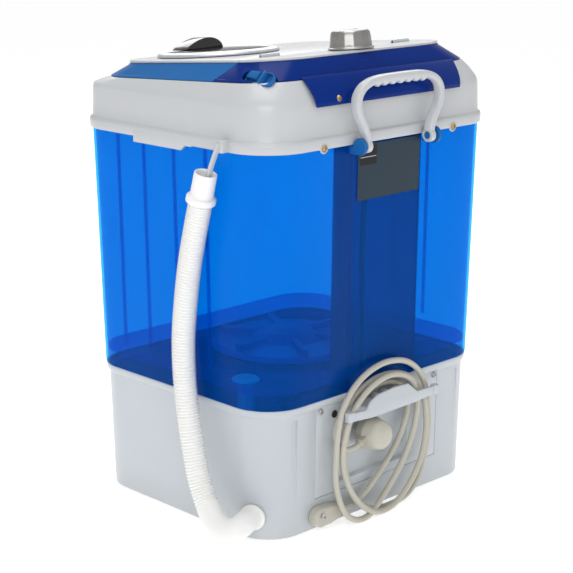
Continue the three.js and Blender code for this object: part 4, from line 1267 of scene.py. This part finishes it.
class WASHER_OT_lid(bpy.types.Operator):
    """Hinged lid with its round window, and the control panel behind it"""

    bl_idname = "washer.lid"
    bl_label = "Lid and panel"
    bl_options = {"REGISTER", "UNDO"}

    def plate_edge(self, inset, down):
        """An outline of the white top, with broader corners at the rear."""
        at = level(lambda y: top_at(y) - down, inset, PLATE_CORNER - inset)
        at["hx"] -= PLATE_IN_X
        at["hy"] -= PLATE_IN_Y
        at["rear"] = PLATE_REAR_CORNER - inset
        return at

    def skirt(self, segments):
        """The sloping sides, from the deck up to the white top."""
        def low(inset, up):
            return level(lambda y: deck_at(y) + up, DECK_INSET + inset, CORNER - inset)

        high = self.plate_edge
        levels = [
            low(0.0, 0.0004), low(-0.0002, 0.0014), high(-0.0014, 0.0052), high(-0.0003, 0.0036),
            high(0.0012, 0.0030),
        ]
        return loft(levels, segments)

    def top(self, segments):
        edge = ((0.6, 3.0), (0, 2.4), (0, 1.2), (0.3, 0.5), (1.0, 0.1), (1.8, 0))
        levels = [self.plate_edge(inset * MM, down * MM) for inset, down in edge]
        return loft(levels, segments, closed=True)

    def part(self, bm, front):
        """Keeps what is before or behind the seam."""
        shift = SEAM_NORMAL * (SEAM_GAP if front else -SEAM_GAP)
        slice_at(bm, SEAM + shift, SEAM_NORMAL, drop="inner" if front else "outer")

    def execute(self, context):
        sizes = context.scene.washer_sizes
        segments = sizes.corner_segments
        for front, body, name, finish, node in (
            (True, "lid", "lid_skirt", "lid_blue", "lid_shell"),
            (False, "machine", "panel_skirt", "panel_blue", "control_panel"),
        ):
            bm = self.skirt(segments)
            self.part(bm, front)
            piece = commit(bm, name, finish, body, (node,), 30)
            thicken(piece, 0.0024, 0.0005, 30)
            if not front:
                bm = bmesh.new()
                self.inlet_shape(bm, 0.030)
                carve(piece, bm, 30)
        self.tops(segments)
        self.apron()
        self.inlet()
        self.window()
        self.knob(sizes)
        return {"FINISHED"}

    def tops(self, segments):
        for front, body, name, node in (
            (True, "lid", "lid_plate", "lid_top"),
            (False, "machine", "panel_plate", "panel_top"),
        ):
            bm = self.top(segments)
            self.part(bm, front)
            bmesh.ops.holes_fill(bm, edges=[e for e in bm.edges if e.is_boundary])
            piece = commit(bm, name, "cap_white", body, (node,), 30)
            bm = bmesh.new()
            at, radius, sides = (WINDOW, 0.062, 72) if front else (KNOB, 0.006, 32)
            rod(bm, radius, 0.03, turned(at, TILTED), sides)
            carve(piece, bm, 30)
            soften(piece, 0.0004, 40)
            bm = bmesh.new()
            for side in (-1, 1):
                spans = ((-13.5, -5.5), (5.5, 13.5)) if front else ((-5, 5),)
                for a, b in spans:
                    at = HINGE + Vector((side * KNUCKLE_X + (a + b) * MM / 2, 0, 0))
                    h = (b - a) / 2
                    profile = [(0, -h), (2.5, -h), (3, 0.4 - h), (3, h - 0.4), (2.5, h), (0, h)]
                    lathe(bm, profile, 24, turned(at, ALONG_X))
            commit(bm, name + "_knuckles", "cap_white", body)

    def apron(self):
        """The rear of the control panel, hanging over the cap's shoulder."""
        bm = bmesh.new()
        line = [(0.1619, 0.4855), (0.1616, 0.4905), (0.1598, 0.4962), (0.1553, 0.5038),
                (0.1490, 0.5115), (0.1446, 0.5150)]
        verts = [bm.verts.new((-0.117, y, z)) for y, z in line]
        edges = [bm.edges.new(pair) for pair in zip(verts, verts[1:])]
        drawn_out(bm, (0.234, 0, 0), edges=edges)
        for v in bm.verts:
            v.co.x *= 1 + 0.045 * (v.co.z - 0.4855) / 0.03
        piece = commit(bm, "panel_apron", "panel_blue", facing=(0, 1, 0), sharp=50)
        add_wall(piece, 0.0018, 1)
        soften(piece, 0.0006, 50, 3)

    def inlet_shape(self, bm, depth):
        """The inlet's oval, standing in the side of the panel."""
        face = rounded_quad(bm, 0.0088, 0.0200, 0.0086, 10, lambda co: co + Vector((0, 0, 0.012)))
        drawn_out(bm, (0, 0, -depth), face=face)
        bmesh.ops.transform(bm, matrix=INLET, verts=bm.verts)

    def inlet(self):
        """An oval cup with a stepped floor, sunk into the side of the panel."""
        bm = bmesh.new()
        self.inlet_shape(bm, 0.022)
        slice_at(bm, (0.1568, 0.118, 0.5167), (0.69, 0.0, 0.72), drop="outer")
        bmesh.ops.recalc_face_normals(bm, faces=bm.faces)
        cup = commit(bm, "water_inlet_cup", "lid_blue", stands_for=("water_inlet",), sharp=40)
        add_wall(cup, 0.0012)
        soften(cup, 0.0003, 40)
        bm = bmesh.new()
        block(bm, (-0.008, 0.0015), (-0.0185, -0.002), (-0.0095, -0.0035), INLET, bevel=0.0008)
        block(bm, (-0.008, 0.0075), (0.004, 0.0075), (-0.0095, -0.0015), INLET, bevel=0.0008)
        commit(bm, "water_inlet_steps", "lid_blue", sharp=40)

    def window(self):
        turn = turned(WINDOW, TILTED)
        bm = bmesh.new()
        profile = [
            (57.5, 0.35), (69.4, 0.35), (70.6, 1.0), (71, 2.2), (70.4, 3.4), (68.5, 4.6),
            (63.5, 5.5), (60.4, 5.6), (59.3, 5.0), (59.1, 3.4), (57.5, 3.4), (57.5, 0.35),
        ]
        lathe(bm, profile, 96, turn)
        commit(bm, "window_ring", "ring_silver", "lid", ("window_bezel",), 40)
        bm = bmesh.new()
        profile = [(0, 3.5), (58.2, 3.5), (58.9, 4.0), (58.6, 4.9), (56, 5.6), (40, 6.4), (20, 6.9),
                   (0, 7.0)]
        lathe(bm, profile, 96, turn)
        commit(bm, "window_glass", "smoky", "lid", ("window_pane",), 40)
        # The lid grip: a solid D-shaped plate in gloss black; the black is painted shade, standing
        # in for the shaded inside of a scoop-shaped grip
        bm = bmesh.new()
        at = turned((0.062, -0.086, top_at(-0.086) + 0.0066), TILTED)
        count = 28
        line = []
        for i in range(count + 1):
            t = i / count
            line.append((-0.030 + 0.060 * t, 0.0128 * math.sin(math.pi * t**0.72) ** 0.8))
        plate(bm, line, 0.012, 0.024)
        bmesh.ops.transform(bm, matrix=at, verts=bm.verts)
        grip = commit(bm, "lid_grip", "black", "lid", ("window_grip",), 30)
        soften(grip, 0.0016, 50, 4)

    def knob(self, sizes):
        """A brushed knob with shallow flats round it, on a thin flange."""
        r = sizes.knob_radius * 1000
        turn = turned(KNOB, TILTED)
        bm = bmesh.new()
        profile = [
            (0, 1.0), (25.4, 1.0), (26, 1.3), (26, 2.0), (25.4, 2.5), (r + 0.6, 3.0), (r, 4.0),
            (r - 0.4, 9), (r - 1.0, 14.5), (r - 1.8, 18.6), (r - 3.0, 20.6), (r - 4.6, 21.4),
            (r - 8, 21.7), (0, 21.8),
        ]
        verts = lathe(bm, profile, 144)
        for v in verts:
            z = v.co.z * 1000
            if 3.5 < z < 21:
                a = math.atan2(v.co.y, v.co.x)
                flat = math.cos((a % (math.pi / 7)) - math.pi / 14)
                shrink = 0.985 / flat if z < 20 else 0.99
                v.co.x *= shrink
                v.co.y *= shrink
        bmesh.ops.transform(bm, matrix=turn, verts=bm.verts)
        commit(bm, "knob_body", "silver", "timer", ("timer_knob",), 50)
        bm = bmesh.new()
        mark = turn @ Matrix.Rotation(math.radians(200), 4, "Z")
        block(bm, (0.008, 0.0185), (-0.0007, 0.0007), (0.0212, 0.0220), mark, bevel=0.0002)
        commit(bm, "knob_pointer", "panel_blue", "timer")


class WASHER_OT_handle(bpy.types.Operator):
    """Carry handle with finger waves"""

    bl_idname = "washer.handle"
    bl_label = "Carry handle"
    bl_options = {"REGISTER", "UNDO"}

    def execute(self, context):
        half = [
            (52, 5), (53, 12), (57.5, 22), (63.5, 32), (67.5, 43), (66.5, 54), (60, 62.5),
            (50, 67.5), (38, 70), (26, 70.8), (13, 71),
        ]
        points = [(-x, 0, z) for x, z in half] + [(0, 0, 71)] + [(x, 0, z) for x, z in half[::-1]]
        line = [PIVOT + p for p in route(in_metres(points), 0.0022)]
        sides = 24
        sizes_along = []
        for p in line:
            neck = max(0.0, 1 - (p.z - PIVOT.z) / 0.014)
            sizes_along.append((0.0064 - 0.0004 * neck, 0.0043 + 0.0010 * neck))
        bm = bmesh.new()
        sweep(bm, line, sizes_along, sides, square=0.72)
        for i, v in enumerate(list(bm.verts)[: len(line) * sides]):
            at = line[i // sides]
            below = at.z - v.co.z
            fade = min(1.0, max(0.0, (0.043 - abs(at.x)) / 0.006))
            if below > 0 and fade:
                wave = 0.5 + 0.5 * math.cos(2 * math.pi * at.x / 0.0128)
                v.co.z -= below * fade * (0.15 + 0.75 * wave)
        for side in (-1, 1):
            at = turned((side * 0.052, PIVOT.y, PIVOT.z), ALONG_X)
            profile = [
                (4.3, -3.6), (7.0, -3.6), (7.7, -2.9), (7.7, 2.9), (7.0, 3.6), (4.3, 3.6),
                (4.3, -3.6),
            ]
            lathe(bm, profile, 40, at)
        commit(bm, "carry_bail", "cap_white", "handle", ("carry_handle",), 40)
        return {"FINISHED"}


class WASHER_OT_finishes(bpy.types.Operator):
    """Finishes for the frame's own nodes that show as they are"""

    bl_idname = "washer.finishes"
    bl_label = "Inner parts and fasteners"
    bl_options = {"REGISTER", "UNDO"}

    def execute(self, context):
        by_finish = {
            "base_white": ["bottom_plate"],
            "rubber": [
                "foot_front_left", "foot_front_right", "foot_rear_left", "foot_rear_right",
                "shaft_seal", "drive_belt",
            ],
            "tub": ["duct_cover"],
            "steel": [
                "hinge_pin_left", "hinge_pin_right", "timer_shaft", "pulsator_shaft", "motor_shaft",
                "motor_bracket", "cover_screw_left", "cover_screw_right", "clamp_screw",
            ],
            "brass": [
                "panel_screw_left", "panel_screw_right", "rim_screw_front_left",
                "rim_screw_front_right", "rim_screw_rear_left", "rim_screw_rear_right",
            ],
            "black": ["timer_body"],
            "cream": ["drain_grille", "drain_pipe", "hose_outlet", "run_capacitor"],
            "plate_blue": ["pulsator"],
            "casting": ["gearbox", "motor_body"],
            "pulley": ["drive_pulley", "motor_pulley"],
            "cable": ["duct_cable"],
        }
        for finish, nodes in by_finish.items():
            for node in nodes:
                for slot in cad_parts[node].material_slots:
                    slot.material = FINISHES[finish]
        return {"FINISHED"}


class WASHER_PT_panel(bpy.types.Panel):
    """Builds the washer piece by piece"""

    bl_idname = "WASHER_PT_panel"
    bl_label = "Mini washing machine"
    bl_space_type = "VIEW_3D"
    bl_region_type = "UI"
    bl_category = "Washer"

    def draw(self, context):
        for step in STEPS:
            self.layout.operator(step.bl_idname)
        for group in (context.scene.washer_sizes, context.scene.washer_colours):
            for name in group.__annotations__:
                self.layout.prop(group, name)


STEPS = (
    WASHER_OT_stage,
    WASHER_OT_mains_cord,
    WASHER_OT_drain_hose,
    WASHER_OT_base,
    WASHER_OT_tub,
    WASHER_OT_top_frame,
    WASHER_OT_lid,
    WASHER_OT_handle,
    WASHER_OT_finishes,
)
CLASSES = (WasherSizes, WasherColours, *STEPS, WASHER_PT_panel)


def register():
    for each in CLASSES:
        bpy.utils.register_class(each)
    bpy.types.Scene.washer_sizes = PointerProperty(type=WasherSizes)
    bpy.types.Scene.washer_colours = PointerProperty(type=WasherColours)


def unregister():
    del bpy.types.Scene.washer_colours
    del bpy.types.Scene.washer_sizes
    for each in reversed(CLASSES):
        bpy.utils.unregister_class(each)


def main():
    register()
    for step in STEPS:
        group, name = step.bl_idname.split(".")
        getattr(getattr(bpy.ops, group), name)()


if __name__ == "__main__":
    main()
